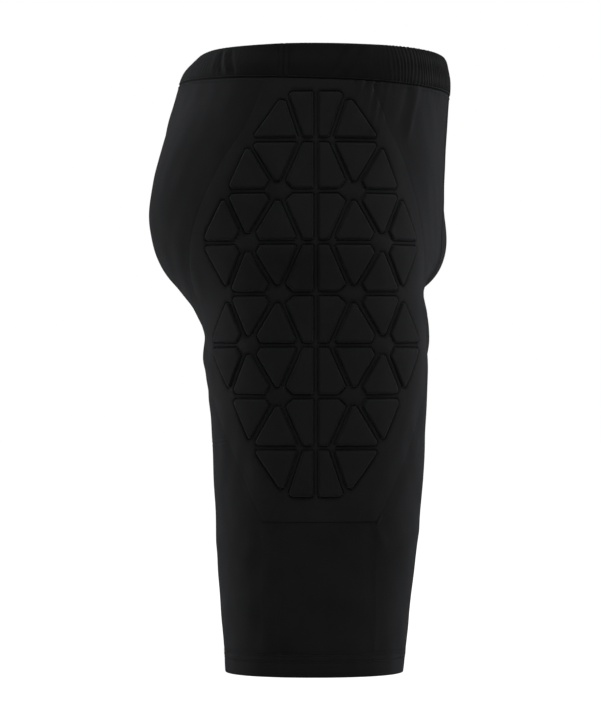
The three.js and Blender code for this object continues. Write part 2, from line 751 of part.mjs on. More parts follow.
/** How much is cut off the corner of a tile beside the centre line, in the column at x. */
function middleCut(x, row) {
  if (x === COLUMNS[0]) return 0;
  return row === 0 || row === ROWS ? CHAMFER : HUB_CUT;
}

/** The lattice corners of the tiles of band k on the front half of the pad. */
function tilesOf(k) {
  const top = PAD_TOP - k * ROW_PITCH;
  const [a, b] = k % 2 === 0 ? [node(2, k), node(1, k)] : [node(1, k), node(2, k)];
  const low = top - ROW_PITCH;
  const blunt = (v, row) => ({ ...v, cut: middleCut(v.x, row) });
  const centre = [{ x: 0, y: top, cut: 0 }, blunt(a, k), blunt(b, k + 1), { x: 0, y: low, cut: 0 }];
  const triangles = [];
  for (let c = 1; c <= TILES_IN_ROW[k]; c++)
    triangles.push([node(c, k), node(c + 1, k), node(c + 2, k)]);
  return [centre, ...triangles];
}

const FOAM_BEVEL = 1.2;
const INSET = CHANNEL / 2 + STITCH_MARGIN;

/** A solid tile, or a strip, from its convex outline: flat below, bevelled above. */
function slab(outline, height, bevelled) {
  const at = (h, ring) => ring.map((v) => new THREE.Vector3(v.x, v.y, h));
  const levels = bevelled
    ? [at(0, outline), at(height - FOAM_BEVEL, outline), at(height, bevelled)]
    : [at(0, outline), at(height, outline)];
  return solidOf(new ConvexGeometry(levels.flat()));
}

function solidOf(geometry) {
  geometry.deleteAttribute("normal");
  const merged = mergeVertices(geometry, 1e-4);
  return new wasm.Manifold(
    new wasm.Mesh({
      numProp: 3,
      vertProperties: merged.attributes.position.array,
      triVerts: new Uint32Array(merged.index.array),
    }),
  );
}

/** Splits every edge longer than limit, the same way on both of its sides. */
function subdivided(vertices, triangles, limit) {
  const middles = new Map();
  const middle = (a, b) => {
    const key = a < b ? `${a},${b}` : `${b},${a}`;
    if (!middles.has(key)) {
      middles.set(key, vertices.length);
      vertices.push(vertices[a].clone().lerp(vertices[b], 0.5));
    }
    return middles.get(key);
  };
  const length = (a, b) => vertices[a].distanceTo(vertices[b]);
  const done = [];
  const waiting = [...triangles];
  while (waiting.length) {
    const [a, b, c] = waiting.pop();
    const sides = [length(a, b), length(b, c), length(c, a)];
    const longest = Math.max(...sides);
    if (longest <= limit) {
      done.push([a, b, c]);
      continue;
    }
    const turned = [[a, b, c], [b, c, a], [c, a, b]][sides.indexOf(longest)];
    const m = middle(turned[0], turned[1]);
    waiting.push([turned[0], m, turned[2]], [m, turned[1], turned[2]]);
  }
  return done;
}

const FOAM_EDGE = 30; // longest straight edge of the foam once it follows the body

/** One row of tiles on its scrim, laid on the body. */
function foamRow(k) {
  const other = (outline) => outline.map((v) => ({ x: -v.x, y: v.y }));
  const outlines = tilesOf(k).map((tile) => [
    tileOutline(tile, INSET),
    tileOutline(tile, INSET + FOAM_BEVEL),
  ]);
  const both = outlines.flatMap(([low, high]) => [[low, high], [other(low), other(high)]]);
  const tiles = both.map(([low, high]) => slab(low, FOAM, high));
  const scrim = slab(both.flatMap(([low]) => low), SCRIM);
  const row = wasm.Manifold.union([...tiles, scrim]).getMesh();
  const vertices = [];
  for (let i = 0; i < row.vertProperties.length; i += row.numProp)
    vertices.push(new THREE.Vector3(...row.vertProperties.subarray(i, i + 3)));
  const triangles = [];
  for (let i = 0; i < row.triVerts.length; i += 3)
    triangles.push([...row.triVerts.subarray(i, i + 3)]);
  const fine = subdivided(vertices, triangles, FOAM_EDGE);
  const laid = vertices.map((v) => {
    const p = around(phiAtArc(v.x, v.y), v.y);
    return p.clone().addScaledVector(normalAt(p), FOAM_IN + v.z);
  });
  return facingOut(meshOf(laid, fine.flat()));
}

// ---------------------------------------------------------------- the assembly

const outerFabric = new THREE.MeshStandardMaterial({ color: 0x1c1d1f, roughness: 0.85 });
const padFabric = new THREE.MeshStandardMaterial({ color: 0x232427, roughness: 0.8 });
const liningFabric = new THREE.MeshStandardMaterial({ color: 0x2c2d30, roughness: 0.9 });
const elasticWebbing = new THREE.MeshStandardMaterial({ color: 0x101113, roughness: 0.9 });
const foamRubber = new THREE.MeshStandardMaterial({ color: 0x3a3b3e, roughness: 0.95 });

const shorts = new THREE.Group();

function add(name, geometry, material) {
  geometry.computeVertexNormals();
  const mesh = new THREE.Mesh(geometry, material);
  mesh.name = name;
  shorts.add(mesh);
}

/** Adds a right-hand piece and its left-hand mirror image. */
function addPair(name, geometry, material) {
  add(`${name}_right`, geometry, material);
  add(`${name}_left`, mirrored(geometry), material);
}

add("waistband_front", waistbandFront, outerFabric);
add("waistband_back", waistbandBack, outerFabric);
add("waist_elastic", waistElastic, elasticWebbing);
add("pouch_panel", pouchPanel, outerFabric);
add("pouch_lining", pouchLining, liningFabric);
add("crotch_gusset", crotchGusset, outerFabric);
addPair("side_pad_panel", padPanel, padFabric);
addPair("pad_backing", padBacking, liningFabric);
addPair("front_panel", frontPanel, outerFabric);
addPair("seat_panel", seatPanel, outerFabric);
addPair("back_leg_panel", backLegPanel, outerFabric);
addPair("hem", hem, outerFabric);
for (let k = 0; k < ROWS; k++) addPair(`foam_row_${k + 1}`, foamRow(k), foamRubber);

export default shorts;
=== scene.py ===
"""Looks of the padded impact shorts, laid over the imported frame.

Lengths inside the classes are in millimetres and become metres when a mesh is made. The frame is
the frame's own: +Z up, the wearer's front towards -Y, the wearer's right side towards -X.
"""

import logging
import math
from dataclasses import dataclass, field
from enum import Enum
from typing import Callable, Iterable, Sequence

import bpy
import numpy as np
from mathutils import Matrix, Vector, kdtree
from mathutils.geometry import delaunay_2d_cdt


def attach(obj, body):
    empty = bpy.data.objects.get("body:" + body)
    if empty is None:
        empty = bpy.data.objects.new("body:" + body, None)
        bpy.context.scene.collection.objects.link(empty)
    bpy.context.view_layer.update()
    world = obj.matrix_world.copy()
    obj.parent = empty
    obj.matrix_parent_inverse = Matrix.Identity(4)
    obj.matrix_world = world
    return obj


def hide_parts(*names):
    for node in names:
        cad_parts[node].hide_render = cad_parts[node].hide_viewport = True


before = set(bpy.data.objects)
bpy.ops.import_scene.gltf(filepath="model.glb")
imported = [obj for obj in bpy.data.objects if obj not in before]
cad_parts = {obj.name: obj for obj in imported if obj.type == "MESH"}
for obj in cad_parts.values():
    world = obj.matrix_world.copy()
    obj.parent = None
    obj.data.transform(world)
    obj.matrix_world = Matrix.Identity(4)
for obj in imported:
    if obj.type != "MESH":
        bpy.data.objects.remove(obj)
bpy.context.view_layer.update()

Array = np.ndarray
LOG = logging.getLogger("shorts")
METRES = 0.001
"""One millimetre in metres."""
WAVES_PER_SCALE = 0.31416
"""Scale of a wave texture whose bands are one unit apart."""
ROOT = "root"


class Side(Enum):
    """Which leg a piece belongs to."""

    RIGHT = "right"
    LEFT = "left"


class Knit(Enum):
    """How a fabric's surface is knitted."""

    JERSEY = "fine jersey"
    RIB = "ribbed jersey"
    MESH = "open mesh"
    TWILL = "thread twist"


# ---------------------------------------------------------------- numbers on arrays


def lerp(a: Array | float, b: Array | float, t: Array | float) -> Array | float:
    """Straight-line mix of a and b by t."""
    return a + (b - a) * t


def smooth(x: Array | float, low: float, high: float) -> Array:
    """Smooth step of x from 0 at low to 1 at high."""
    t = np.clip((np.asarray(x, float) - low) / (high - low), 0.0, 1.0)
    return t * t * (3.0 - 2.0 * t)


def unit(v: Array) -> Array:
    """Vectors of length one along the last axis."""
    return v / np.maximum(np.linalg.norm(v, axis=-1, keepdims=True), 1e-12)


def evenly(count: int) -> Array:
    """Numbers from 0 to 1 in that many equal steps."""
    return np.linspace(0.0, 1.0, count + 1)


def edged(
    length: float, pitch: float, edge: Sequence[float] = (0.0, 0.5, 1.1, 1.9, 3.0)
) -> Array:
    """Shares from 0 to 1 along a length, close together near both ends.

    Args:
        length: the length in millimetres.
        pitch: the spacing away from the ends.
        edge: the distances from each end.

    Returns:
        Rising shares from 0 to 1.
    """
    near = np.array(edge) / length
    count = max(2, round(length * (1.0 - 2.0 * near[-1]) / pitch))
    middle = np.linspace(near[-1], 1.0 - near[-1], count + 1)[1:-1]
    return np.concatenate([near, middle, 1.0 - near[::-1]])


class Curve:
    """Smooth curve through stations, flat beyond both ends."""

    def __init__(self, at: Sequence[float], value: Sequence[float]) -> None:
        """Keeps the stations and their slopes."""
        order = np.argsort(at)
        self.x = np.array(at, float)[order]
        self.y = np.array(value, float)[order]
        i = np.arange(len(self.x))
        low, high = np.maximum(i - 1, 0), np.minimum(i + 1, i[-1])
        self.slope = (self.y[high] - self.y[low]) / (self.x[high] - self.x[low])

    def __call__(self, at: Array | float) -> Array:
        """The curve's value at each place."""
        at = np.clip(np.asarray(at, float), self.x[0], self.x[-1])
        i = np.clip(np.searchsorted(self.x, at, side="right") - 1, 0, len(self.x) - 2)
        h = self.x[i + 1] - self.x[i]
        t = (at - self.x[i]) / h
        t2, t3 = t * t, t * t * t
        return (
            (2 * t3 - 3 * t2 + 1) * self.y[i]
            + (t3 - 2 * t2 + t) * h * self.slope[i]
            + (3 * t2 - 2 * t3) * self.y[i + 1]
            + (t3 - t2) * h * self.slope[i + 1]
        )


def run_along(line: Array) -> Array:
    """Distance along a line to each of its points."""
    return np.concatenate([[0.0], np.cumsum(np.linalg.norm(np.diff(line, axis=0), axis=-1))])


def read_line(at: Array, run: Array, data: Array) -> Array:
    """What a line carries at distances along it, from what it carries at its points."""
    return np.stack([np.interp(at, run, column) for column in data.T], axis=-1)


def with_ends(data: Array) -> Array:
    """A lattice with one more line, carried on straight, at each end of its first axis."""
    return np.concatenate([2 * data[:1] - data[1:2], data, 2 * data[-1:] - data[-2:-1]])


def resample(values: Array, rows: Array, columns: Array) -> Array:
    """Reads a lattice between its points, smoothly.

    Args:
        values: lattice of shape (rows, columns, anything).
        rows: shares from 0 to 1 down the lattice.
        columns: shares from 0 to 1 across it.

    Returns:
        The values at every pair of a row share and a column share.
    """

    def along(data: Array, shares: Array) -> Array:
        """Reads the first axis at the shares."""
        padded = with_ends(data)
        t = shares * (len(data) - 1)
        i = np.clip(np.floor(t).astype(int), 0, len(data) - 2)
        f = (t - i).reshape((-1,) + (1,) * (data.ndim - 1))
        a, b, c, d = (padded[i + k] for k in range(4))
        return b + 0.5 * f * (c - a + f * (2 * a - 5 * b + 4 * c - d + f * (3 * (b - c) + d - a)))

    down = along(values, rows)
    return np.swapaxes(along(np.swapaxes(down, 0, 1), columns), 0, 1)


def read_at(values: Array, rows: Array, columns: Array) -> Array:
    """Reads a lattice smoothly at scattered places.

    Args:
        values: lattice of shape (rows, columns, anything).
        rows: share down the lattice of each place.
        columns: share across it of each place.

    Returns:
        The values at the places.
    """

    def weights(share: Array, count: int) -> tuple[Array, Array]:
        """The four nearest lines of the lattice and how much each counts."""
        t = np.clip(share, 0.0, 1.0) * (count - 1)
        i = np.clip(np.floor(t).astype(int), 0, count - 2)
        f = t - i
        w = np.stack(
            [
                -0.5 * f + f**2 - 0.5 * f**3,
                1 - 2.5 * f**2 + 1.5 * f**3,
                0.5 * f + 2 * f**2 - 1.5 * f**3,
                -0.5 * f**2 + 0.5 * f**3,
            ]
        )
        return np.stack([i, i + 1, i + 2, i + 3]), w

    grown = np.swapaxes(with_ends(np.swapaxes(with_ends(values), 0, 1)), 0, 1)
    i, wi = weights(rows, values.shape[0])
    j, wj = weights(columns, values.shape[1])
    total = 0.0
    for a in range(4):
        for b in range(4):
            total = total + grown[i[a], j[b]] * (wi[a] * wj[b])[..., None]
    return total


class Unevenness:
    """Slow random waves over the cloth, always the same for one seed."""

    def __init__(self, seed: int, wavelength: float, count: int = 14) -> None:
        """Draws the waves."""
        draw = np.random.default_rng(seed)
        self.k = unit(draw.normal(size=(count, 3))) * 2 * math.pi / wavelength
        self.k *= draw.uniform(0.6, 1.6, size=(count, 1))
        self.phase = draw.uniform(0, 2 * math.pi, size=count)

    def __call__(self, points: Array) -> Array:
        """Wave height, about -1 to 1, at each point."""
        waves = np.sin(points @ self.k.T + self.phase)
        return waves.sum(axis=-1) / math.sqrt(len(self.phase))


# ---------------------------------------------------------------- the body under the cloth


@dataclass(frozen=True)
class Lobe:
    """A rounded swelling of the body, in millimetres from the crotch level."""

    x: float
    y: float
    above: float
    radii: tuple[float, float, float]


@dataclass
class Body:
    """The shape that the shorts sit on: a smooth field, negative inside."""

    inseam: float = 290.0
    rise: float = 223.0
    hip_half_breadth: float = 170.0
    leg_spread: float = 90.0
    leg_lean: float = 10.0
    seat_cup: float = 58.0
    leg_cap: float = 150.0
    trunk_roundness: float = 2.4
    leg_roundness: float = 2.15
    blend: float = 24.0
    leg_blend: float = 10.0
    glute: Lobe = Lobe(68, 42, 86, (76, 82, 88))
    pouch: Lobe = Lobe(0, -78, 64, (44, 45, 46))
    pad_centre_y: float = -13.0
    band_height: float = 29.7
    band_dip: float = 4.7
    band_bow: float = 3.0

    def __post_init__(self) -> None:
        """Draws the outline curves and measures the arcs."""
        drop = (0, 7, 18, 30, 78, 130, 170)
        self.trunk_front = Curve(drop, (116, 122, 124.5, 126, 123.5, 121, 118))
        self.trunk_back = Curve(drop, (80, 87, 97, 102, 113.5, 111.5, 109))
        self.trunk_breadth = Curve(drop, (-24, -22, -18, -16, -7, 0, 1))
        share = (0, 0.17, 0.43, 0.69, 0.96, 1.25)
        self.leg_side = Curve(share, (66, 69.5, 75, 79.5, 82, 80))
        self.leg_depth = Curve(share, (73, 77.5, 83.5, 88.2, 92.5, 88))
        self.leg_y = Curve(share, (-12, -12.7, -14.6, -15.6, -12.7, -10))
        self.top = self.inseam + self.rise
        self.band_bottom = self.top - self.band_height
        self._measure_arcs()

    def leg_axis(self, z: Array | float) -> tuple[Array, Array]:
        """Middle (x, y) of the right leg at height z."""
        share = np.asarray(z, float) / self.inseam
        return -(self.leg_spread + self.leg_lean * (1 - share)), self.leg_y(share)

    def _smooth_min(self, a: Array, b: Array, radius: float) -> Array:
        """Lower of two fields with a rounded join."""
        h = np.maximum(0.0, radius - np.abs(a - b)) / radius
        return np.minimum(a, b) - h * h * radius / 4

    def _trunk(self, p: Array) -> Array:
        """Field of the hips and waist."""
        x, y, z = p[..., 0], p[..., 1], p[..., 2]
        drop = self.top - z
        front, back = self.trunk_front(drop), self.trunk_back(drop)
        half = (front + back) / 2
        n = self.trunk_roundness
        u = np.abs(x / (self.hip_half_breadth + self.trunk_breadth(drop)))
        v = np.abs((y - (back - front) / 2) / half)
        ring = (u**n + v**n) ** (1 / n)
        below = np.maximum(0.0, self.inseam + self.seat_cup - z) / self.seat_cup
        return (np.hypot(ring, below) - 1) * half

    def _leg(self, p: Array, sign: float) -> Array:
        """Field of one thigh."""
        x, y, z = p[..., 0] * sign, p[..., 1], p[..., 2]
        share = z / self.inseam
        ax, ay = self.leg_axis(z)
        n = self.leg_roundness
        side = self.leg_side(share)
        u, v = np.abs((x - ax) / side), np.abs((y - ay) / self.leg_depth(share))
        ring = (u**n + v**n) ** (1 / n)
        above = np.maximum(0.0, z - self.inseam) / self.leg_cap
        return (np.hypot(ring, above) - 1) * side

    def _lobe(self, p: Array, lobe: Lobe, x: float) -> Array:
        """Field of one swelling."""
        centre = np.array([x, lobe.y, self.inseam + lobe.above])
        radii = np.array(lobe.radii)
        return (np.linalg.norm((p - centre) / radii, axis=-1) - 1) * radii.min()

    def field(self, p: Array) -> Array:
        """Negative inside the body, zero on its surface."""
        legs = self._smooth_min(self._leg(p, 1), self._leg(p, -1), self.leg_blend)
        glutes = self._smooth_min(
            self._lobe(p, self.glute, -self.glute.x),
            self._lobe(p, self.glute, self.glute.x),
            self.blend,
        )
        seat = self._smooth_min(self._trunk(p), glutes, self.blend)
        front = self._smooth_min(seat, self._lobe(p, self.pouch, 0.0), self.blend / 2)
        return self._smooth_min(front, legs, self.blend)

    def normal(self, p: Array) -> Array:
        """Outward unit normals at points of the surface."""
        h = 0.5 * np.eye(3)
        grad = [self.field(p + h[k]) - self.field(p - h[k]) for k in range(3)]
        return unit(np.stack(grad, axis=-1))

    def cast(self, start: Array, way: Array, entering: bool = False, step: float = 4.0) -> Array:
        """Where rays leave the body.

        Args:
            start: points the rays start from.
            way: unit directions of the rays.
            entering: the rays start outside, and stop where they enter.
            step: length of the first steps.

        Returns:
            The points on the surface.
        """
        start, way = np.broadcast_arrays(np.asarray(start, float), np.asarray(way, float))
        shape = start.shape
        start, way = start.reshape(-1, 3), way.reshape(-1, 3)
        sign = -1.0 if entering else 1.0
        far = np.full(len(start), step)
        active = np.arange(len(start))
        for _ in range(int(320 / step)):
            inside = sign * self.field(start[active] + way[active] * far[active, None]) < 0
            active = active[inside]
            if not len(active):
                break
            far[active] += step
        near = far - step
        for _ in range(18):
            middle = (near + far) / 2
            inside = sign * self.field(start + way * middle[:, None]) < 0
            near, far = np.where(inside, middle, near), np.where(inside, far, middle)
        return (start + way * far[:, None]).reshape(shape)

    def around(self, phi: Array, z: Array) -> Array:
        """Points of the right half, phi radians from the side towards the front."""
        phi, z = np.broadcast_arrays(np.asarray(phi, float), np.asarray(z, float))
        ax, ay = self.leg_axis(z)
        start = np.stack([ax, ay, z], axis=-1)
        way = np.stack([-np.cos(phi), -np.sin(phi), np.zeros_like(phi)], axis=-1)
        return self.cast(start, way)

    def phi_of(self, p: Array) -> Array:
        """The phi of points of the right half."""
        ax, ay = self.leg_axis(p[..., 2])
        return np.arctan2(ay - p[..., 1], ax - p[..., 0])

    def _measure_arcs(self) -> None:
        """Measures lengths along the sections, from the pad's centre line."""
        self.level = 5.0
        z = np.arange(0, self.top + 11, self.level)
        self.arc_phi = np.radians(np.arange(-183, 183.1, 3))
        points = self.around(self.arc_phi[None, :], z[:, None])
        steps = np.linalg.norm(np.diff(points, axis=1), axis=-1)
        length = np.concatenate([np.zeros((len(z), 1)), np.cumsum(steps, axis=1)], axis=1)
        start = np.stack([self.leg_axis(z)[0], np.full(len(z), self.pad_centre_y), z], axis=-1)
        phi = self.phi_of(self.cast(start, np.array([-1.0, 0.0, 0.0])))
        for i, value in enumerate(phi):
            length[i] -= np.interp(value, self.arc_phi, length[i])
        self.arc_length = length

    def _read(self, value: Array, z: Array, back: bool) -> Array:
        """Reads the arc tables, as phi from arc or, with back, arc from phi."""
        value, z = np.broadcast_arrays(np.asarray(value, float), np.asarray(z, float))
        level = np.floor(z / self.level).astype(int)
        out = np.zeros(value.shape)
        for k in np.unique(level):
            here = level == k
            both = []
            for row in (self.arc_length[k], self.arc_length[k + 1]):
                xs, ys = (self.arc_phi, row) if back else (row, self.arc_phi)
                both.append(np.interp(value[here], xs, ys))
            out[here] = lerp(both[0], both[1], z[here] / self.level - k)
        return out

    def phi_at(self, arc: Array, z: Array) -> Array:
        """The phi of the cloth that lies arc millimetres in front of the pad's centre line."""
        return self._read(arc, z, False)

    def arc_at(self, phi: Array, z: Array) -> Array:
        """The arc of a phi at height z."""
        return self._read(phi, z, True)

    def on_side(self, arc: Array, z: Array) -> Array:
        """Points of the right half at an arc and a height."""
        return self.around(self.phi_at(arc, z), z)

    def band_foot(self, p: Array) -> Array:
        """Height of the waistband's lower seam beside points of the body."""
        forward = p[..., 1] / np.hypot(p[..., 0], p[..., 1])
        return self.band_bottom + self.band_dip * forward - self.band_bow * forward**2

    def ring(self, angle: Array, z: Array) -> Array:
        """Points of the trunk at height z, turned from the front towards the right side."""
        angle, z = np.broadcast_arrays(np.asarray(angle, float), np.asarray(z, float))
        start = np.stack([np.zeros_like(z), np.zeros_like(z), z], axis=-1)
        way = np.stack([-np.sin(angle), -np.cos(angle), np.zeros_like(z)], axis=-1)
        return self.cast(start, way)


# ---------------------------------------------------------------- finishes


def add_node(
    tree: bpy.types.NodeTree, kind: str, inputs: dict[int | str, object], **settings: object
) -> bpy.types.Node:
    """Adds a node to a material or a world.

    Args:
        tree: the node tree.
        kind: the node's type, without the ShaderNode in front.
        inputs: for named or numbered inputs, a value or the socket that is linked to it.
        settings: the node's own properties.

    Returns:
        The node.
    """
    node = tree.nodes.new(f"ShaderNode{kind}")
    for name, value in settings.items():
        setattr(node, name, value)
    set_inputs(tree, node, inputs)
    return node


def set_inputs(
    tree: bpy.types.NodeTree, node: bpy.types.Node, inputs: dict[int | str, object]
) -> None:
    """Sets or links a node's inputs."""
    for name, value in inputs.items():
        if isinstance(value, bpy.types.NodeSocket):
            tree.links.new(value, node.inputs[name])
        else:
            node.inputs[name].default_value = value


@dataclass(frozen=True)
class Fabric:
    """A knitted fabric's finish."""

    name: str
    slot: str
    dark: tuple[float, float, float]
    light: tuple[float, float, float]
    roughness: float
    sheen: float
    knit: Knit
    pitch: float = 0.8
    depth: float = 0.25
    # worn turns on painted shade: the colour is darkened along the quilting stitch lines and
    # nearly to black at the needle holes, where the pits would be in shadow.
    worn: bool = False

    def make(self) -> bpy.types.Material:
        """Builds the node material once.

        Returns:
            The material: weave, uneven dye and, on quilted cloth, painted shade in the stitch
                holes.
        """
        found = bpy.data.materials.get(self.name)
        if found:
            return found
        material = bpy.data.materials.new(self.name)
        material.use_nodes = True
        tree = material.node_tree
        place = add_node(tree, "TexCoord", {}).outputs

        def noise(scale: float, detail: float) -> bpy.types.NodeSocket:
            """Noise over the object at that scale, per metre."""
            inputs = {"Scale": scale, "Detail": detail, "Vector": place["Object"]}
            return add_node(tree, "TexNoise", inputs).outputs["Fac"]

        def waves(direction: str, pitch: float) -> bpy.types.NodeSocket:
            """Bands across the cloth at that pitch, in millimetres."""
            scale = WAVES_PER_SCALE / (pitch * METRES)
            inputs = {"Scale": scale, "Distortion": 0.6, "Detail": 1.0, "Vector": place["UV"]}
            return add_node(tree, "TexWave", inputs, bands_direction=direction).outputs["Fac"]

        def joined(
            kind: str, a: bpy.types.NodeSocket, b: bpy.types.NodeSocket
        ) -> bpy.types.NodeSocket:
            """Two numbers joined by one operation."""
            return add_node(tree, "Math", {0: a, 1: b}, operation=kind).outputs[0]

        def ramp(source: bpy.types.NodeSocket, **limits: float) -> bpy.types.NodeSocket:
            """A number carried from one range to another."""
            inputs = {name.replace("_", " "): value for name, value in limits.items()}
            return add_node(tree, "MapRange", {"Value": source, **inputs}).outputs["Result"]

        cloud, grain = noise(38.0, 3.0), noise(1500.0, 2.0)
        across, along = waves("X", self.pitch), waves("Y", self.pitch * 0.8)
        if self.knit is Knit.MESH:
            weave = joined("MULTIPLY", across, along)
        elif self.knit is Knit.RIB:
            weave = joined("MAXIMUM", across, grain)
        else:
            weave = joined("ADD", across, along)
        height = joined("ADD", weave, grain)
        shade = ramp(joined("MULTIPLY", cloud, height), From_Min=0.35, From_Max=1.05)
        tones = {0: shade, 6: (*self.dark, 1.0), 7: (*self.light, 1.0)}
        colour = add_node(tree, "Mix", tones, data_type="RGBA").outputs[2]
        # Painted shade: the colour is multiplied by a per-vertex factor that falls to 0.02 in the
        # needle holes, standing in for the shadow in the stitch pits.
        if self.worn:
            stitch_shade = add_node(tree, "Attribute", {}, attribute_name="stitch_shade").outputs["Fac"]
            tones = {0: 1.0, 6: colour, 7: ramp(stitch_shade, To_Min=0.02, To_Max=1.0)}
            mixing = {"data_type": "RGBA", "blend_type": "MULTIPLY"}
            colour = add_node(tree, "Mix", tones, **mixing).outputs[2]
        rough = ramp(cloud, To_Min=self.roughness - 0.07, To_Max=self.roughness + 0.07)
        raised = {"Strength": 0.5, "Distance": self.depth * METRES, "Height": height}
        finish = {
            "Base Color": colour,
            "Roughness": rough,
            "Normal": add_node(tree, "Bump", raised).outputs["Normal"],
            "Sheen Weight": self.sheen,
            "Sheen Roughness": 0.45,
            "Sheen Tint": (0.86, 0.9, 1.0, 1.0),
            "Specular IOR Level": 0.22,
        }
        set_inputs(tree, tree.nodes["Principled BSDF"], finish)
        return material


STRETCH = Fabric(
    "stretch_jersey", "stretch_knit", (0.0062, 0.0062, 0.0068), (0.0150, 0.0150, 0.0160),
    0.66, 0.16, Knit.JERSEY,
)
# The pad's cloth, with painted shade at its stitch lines and needle holes (worn=True).
PADDED = Fabric(
    "pad_jersey", "pad_knit", (0.0070, 0.0070, 0.0075), (0.0165, 0.0165, 0.0172),
    0.62, 0.17, Knit.JERSEY, worn=True,
)
CASING = Fabric(
    "casing_jersey", "waistband_knit", (0.0027, 0.0027, 0.0029), (0.0068, 0.0068, 0.0072),
    0.72, 0.10, Knit.RIB,
)
LINING = Fabric(
    "lining_mesh", "inner_mesh", (0.0060, 0.0060, 0.0064), (0.0230, 0.0230, 0.0240),
    0.85, 0.10, Knit.MESH, pitch=1.6, depth=0.4,
)
THREAD = Fabric(
    "sewing_thread", "stretch_knit", (0.0085, 0.0085, 0.0090), (0.0210, 0.0210, 0.0220),
    0.42, 0.25, Knit.TWILL, pitch=0.3, depth=0.1,
)
# Painted highlight: the same black thread as THREAD, coloured about 2.6 times lighter so that the
# quilting stitches look lit.
QUILTING_HIGHLIT = Fabric(
    "quilting_thread_highlit", "pad_knit", (0.0220, 0.0220, 0.0225), (0.0580, 0.0580, 0.0590),
    0.42, 0.25, Knit.TWILL, pitch=0.3, depth=0.1,
)


# ---------------------------------------------------------------- meshes


def deselect() -> None:
    """Leaves nothing selected, so that an operator acts on its own piece alone."""
    for other in bpy.context.selected_objects:
        other.select_set(False)
    bpy.context.view_layer.objects.active = None


@dataclass
class Surface:
    """Vertices in millimetres, faces, and what each vertex carries."""

    points: Array
    faces: list[tuple[int, ...]]
    uv: Array
    # Painted shade factor per vertex: 1 on open cloth, low along the stitch lines and lowest at
    # the needle holes.
    stitch_shade: Array | None = None
    lining_from: int | None = None

    def on(self, side: Side) -> "Surface":
        """A right-hand surface, mirrored where it is wanted on the wearer's left."""
        if side is Side.RIGHT:
            return self
        points = self.points * np.array([-1.0, 1.0, 1.0])
        faces = [tuple(reversed(f)) for f in self.faces]
        return Surface(points, faces, self.uv, self.stitch_shade, self.lining_from)

    def outward(self) -> "Surface":
        """The same closed surface with its faces pointing outwards."""
        total = 0.0
        for f in self.faces:
            a, b, c = self.points[f[0]], self.points[f[1]], self.points[f[2]]
            total += float(np.dot(a, np.cross(b, c)))
            if len(f) == 4:
                d = self.points[f[3]]
                total += float(np.dot(a, np.cross(c, d)))
        if total < 0:
            self.faces = [tuple(reversed(f)) for f in self.faces]
        return self

    def make(self, name: str, fabrics: Sequence[Fabric], angle: float = 50.0) -> bpy.types.Object:
        """Makes the mesh object.

        Args:
            name: the piece's name.
            fabrics: its finish, and the lining's where it has one.
            angle: edges sharper than this many degrees stay crisp.

        Returns:
            The object, at the origin.
        """
        mesh = bpy.data.meshes.new(name)
        mesh.from_pydata((self.points * METRES).tolist(), [], self.faces)
        layer = mesh.uv_layers.new(name="cloth")
        corners = np.zeros(len(mesh.loops), np.int32)
        mesh.loops.foreach_get("vertex_index", corners)
        layer.data.foreach_set("uv", (self.uv[corners] * METRES).astype(np.float32).ravel())
        # Stores the painted shade factor that the material uses to darken the stitches.
        if self.stitch_shade is not None:
            stitch_shade = mesh.attributes.new("stitch_shade", "FLOAT", "POINT")
            stitch_shade.data.foreach_set("value", self.stitch_shade.astype(np.float32))
        for fabric in fabrics:
            mesh.materials.append(fabric.make())
        if self.lining_from is not None:
            index = np.zeros(len(mesh.polygons), np.int32)
            index[self.lining_from :] = 1
            mesh.polygons.foreach_set("material_index", index)
        mesh.update()
        piece = bpy.data.objects.new(name, mesh)
        bpy.context.scene.collection.objects.link(piece)
        deselect()
        piece.select_set(True)
        bpy.context.view_layer.objects.active = piece
        bpy.ops.object.shade_smooth_by_angle(angle=math.radians(angle))
        deselect()
        return piece


def closed_sheet(outer: Array, inner: Array, uv: Array, cells: Array | None = None) -> Surface:
    """A thin closed sheet between two grids of points.

    Args:
        outer: outer face, of shape (rows, columns, 3).
        inner: inner face, of the same shape.
        uv: cloth coordinates of the grid, of shape (rows, columns, 2).
        cells: which cells of the grid exist, all of them by default.

    Returns:
        The closed surface.
    """
    rows, cols = outer.shape[:2]
    if cells is None:
        cells = np.ones((rows - 1, cols - 1), bool)
    index = np.arange(rows * cols).reshape(rows, cols)
    n = rows * cols
    i, j = np.nonzero(cells)
    a, b, c, d = index[i, j], index[i, j + 1], index[i + 1, j + 1], index[i + 1, j]
    quads = [np.stack([a, b, c, d], 1), np.stack([a, d, c, b], 1) + n]
    padded = np.pad(cells, 1)
    for di, dj, first, second in (
        (-1, 0, (0, 0), (0, 1)),
        (1, 0, (1, 1), (1, 0)),
        (0, -1, (1, 0), (0, 0)),
        (0, 1, (0, 1), (1, 1)),
    ):
        edge = cells & ~padded[1 + di : rows + di, 1 + dj : cols + dj]
        i, j = np.nonzero(edge)
        p = index[i + first[0], j + first[1]]
        q = index[i + second[0], j + second[1]]
        quads.append(np.stack([p, p + n, q + n, q], 1))
    faces = np.concatenate(quads)
    used = np.unique(faces)
    number = np.full(2 * n, -1)
    number[used] = np.arange(len(used))
    points = np.concatenate([outer.reshape(-1, 3), inner.reshape(-1, 3)])[used]
    coords = np.concatenate([uv.reshape(-1, 2)] * 2)[used]
    faces = [tuple(f) for f in number[faces].tolist()]
    return Surface(points, faces, coords).outward()


def rim_of(index: Array) -> Array:
    """The numbers round a grid's edge, in order."""
    return np.concatenate([index[0, :-1], index[:-1, -1], index[-1, :0:-1], index[:0:-1, 0]])


